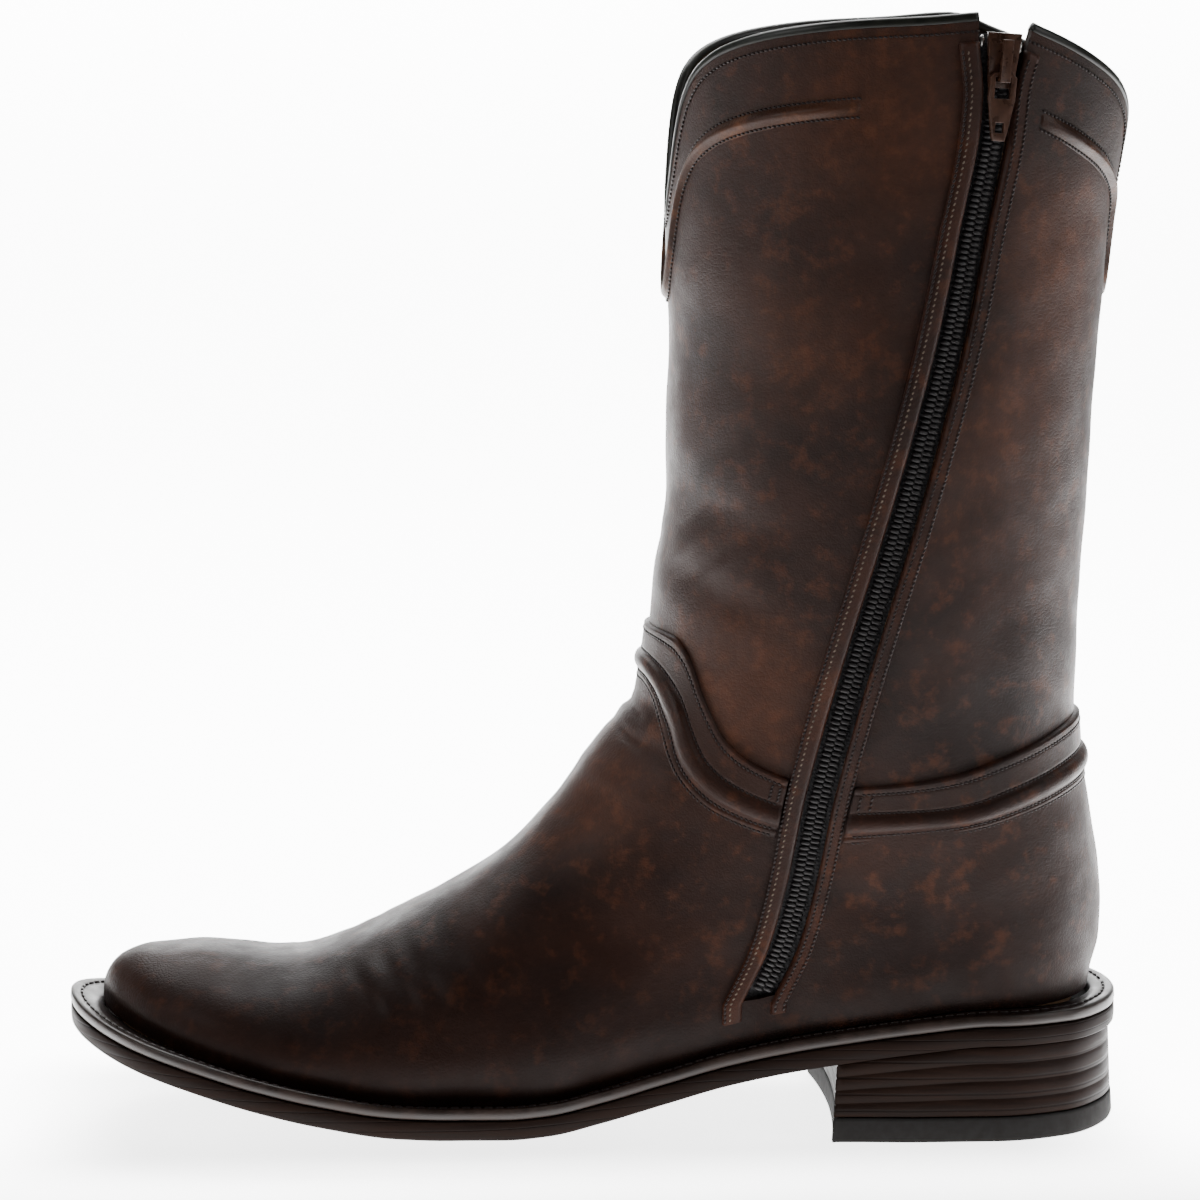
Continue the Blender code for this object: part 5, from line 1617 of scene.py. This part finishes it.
def build_beads(leather_look, thread):
    """The two beads below the collar."""
    at = np.array([BEAD_CLIMB])
    for name, start, gap, round_back in (
        ("front", FRONT_BEAD_START, -BEAD_END, 0.0),
        ("back", BACK_BEAD_START, BEAD_END, 2 * np.pi),
    ):
        from_zip = turn_at_line(at, ZIP_X, constant(start), 1)[0]
        to_seam = turn_at_line(at, SEAM_X, constant(gap), -1)[0] + round_back
        slot_name = "bead_leather" if name == "front" else "back_bead_leather"
        build_fine_bead(name + "_bead", "shaft_bead_" + name, from_zip, to_seam, leather_look,
                        thread, slot_name)


def build_uprights(facing_leather, seam_leather, thread):
    """The zip's facings and the side seam, with their sewn rows."""
    lap = -0.3 * MM
    face = rounded(FACING_FACE, STRIP_SUNK)
    upright_piece("facing_front", ZIP_X, 1, FACING_LOW, FACING_HIGH,
                  beside_slit(-1, FACING_FRONT), beside_slit(-1, lap), face, facing_leather,
                  slot="facing_leather", replaces=["zip_facing_front"])
    upright_piece("facing_back", ZIP_X, 1, FACING_LOW, FACING_HIGH, beside_slit(1, lap),
                  beside_slit(1, FACING_BACK), face, facing_leather,
                  slot="facing_back_leather", replaces=["zip_facing_back"])
    half = SEAM_WIDTH / 2
    upright_piece("seam_strip", SEAM_X, -1, SEAM_LOW, SEAM_HIGH, constant(-half), constant(half),
                  rounded(BAND_FACE, STRIP_SUNK), seam_leather, slot="seam_leather",
                  replaces=["side_seam"])
    climbs = np.linspace(FACING_LOW + 0.01, FACING_HIGH - 0.005, 300)
    for way, inset in ((-1, 4.8), (1, 0.9), (1, 3.4)):
        angles = turn_at_line(climbs, ZIP_X, beside_slit(way, inset * MM), 1)
        thread.line(angles, climbs, FACING_FACE + 0.07 * MM)
    pale = Thread()
    angles = turn_at_line(climbs, ZIP_X, beside_slit(-1, 3.3 * MM), 1)
    pale.line(angles, climbs, FACING_FACE + 0.05 * MM, 1.6 * MM)
    climbs = np.linspace(SEAM_LOW + 0.01, SEAM_HIGH - 0.005, 300)
    for offset in (-1.5, 1.5):
        angles = turn_at_line(climbs, SEAM_X, constant(offset * MM), -1)
        thread.line(angles, climbs, BAND_FACE + 0.05 * MM)
    return pale


def main():
    """Build the studio, then the boot's looks from the upper down to the heel."""
    build_studio()
    build_camera()
    upper_leather = leather("boot_leather", DARK, MID, WARM, sheen_patches=SHEEN_PATCHES)
    band_leather = leather("band_leather", DARK, MID, WARM, rough=0.46, grain=0.8)
    bead_leather = leather("bead_leather", (0.016, 0.006, 0.0035), (0.050, 0.018, 0.008),
                           (0.16, 0.055, 0.018), rough=0.36, foot_shade=False)
    facing_leather = leather("facing_leather", (0.014, 0.005, 0.003), (0.032, 0.011, 0.006), WARM,
                             rough=0.38, foot_shade=False)
    lining_leather = plain("lining_leather", (0.30, 0.19, 0.11), 0.65, vary=0.15, scale=120.0)
    thread_dark = plain("thread_dark", (0.009, 0.004, 0.003), 0.5, scale=900.0)
    binding_leather = plain("binding_leather", (0.006, 0.0062, 0.0042), 0.40, vary=0.3,
                            scale=200.0)
    build_skin(upper_leather, lining_leather)
    thread = Thread()
    build_bands(band_leather, thread)
    build_beads(bead_leather, thread)
    pale = build_uprights(facing_leather, band_leather, thread)
    build_fine_binding(binding_leather, thread)
    thread.sew("stitches", 1.12 * MM, 0.32 * MM, thread_dark, slant=0.35, slot="upper_leather")
    thread_pale = plain("thread_pale", (0.10, 0.075, 0.055), 0.6, scale=900.0)
    pale.sew("facing_stitches", 0.9 * MM, 0.24 * MM, thread_pale, slant=0.5, slot="facing_leather")

    tape_cloth = woven("zip_tape_cloth", (0.014, 0.013, 0.014), 0.75, 260.0)
    nylon = plain("zip_nylon", (0.020, 0.018, 0.018), 0.34, vary=0.2)
    metal = plain("slider_paint", (0.045, 0.020, 0.012), 0.30, metallic=0.35, vary=0.3, coat=0.3)
    silver = plain("stop_silver", (0.55, 0.54, 0.52), 0.30, metallic=1.0, vary=0.1)
    build_zip(silver, tape_cloth, nylon)
    bevelled("zip_slider", "slider_body", 0.22 * MM, metal, "boot")
    bevelled("zip_pull", "pull_tab_plate", 0.25 * MM, metal, "pull_tab")

    edge_leather = layered("sole_edge_leather", (0.0045, 0.0021, 0.0014),
                           (0.0075, 0.0034, 0.0021), 2.7 * MM, 0.55)
    welt_leather = plain("welt_stain", (0.009, 0.0042, 0.0026), 0.42, vary=0.35, scale=160.0)
    welt_thread = Thread()
    build_fine_sole(edge_leather, welt_leather, welt_thread)
    welt_thread.sew("welt_stitches", 2.5 * MM, 0.42 * MM, thread_dark, slot="welt_leather")
    stack_leather = layered("heel_stack_leather", (0.005, 0.0024, 0.0016),
                            (0.009, 0.0042, 0.0027), 4.6 * MM, 0.50)
    lift_rubber = plain("lift_rubber_dark", (0.004, 0.0032, 0.0028), 0.9, vary=0.2, scale=400.0)
    build_fine_heel(stack_leather, lift_rubber)
    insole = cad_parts["insole"].data.materials
    insole.clear()
    insole.append(plain("insole_lining", (0.26, 0.16, 0.09), 0.7, vary=0.15, scale=90.0))


main()
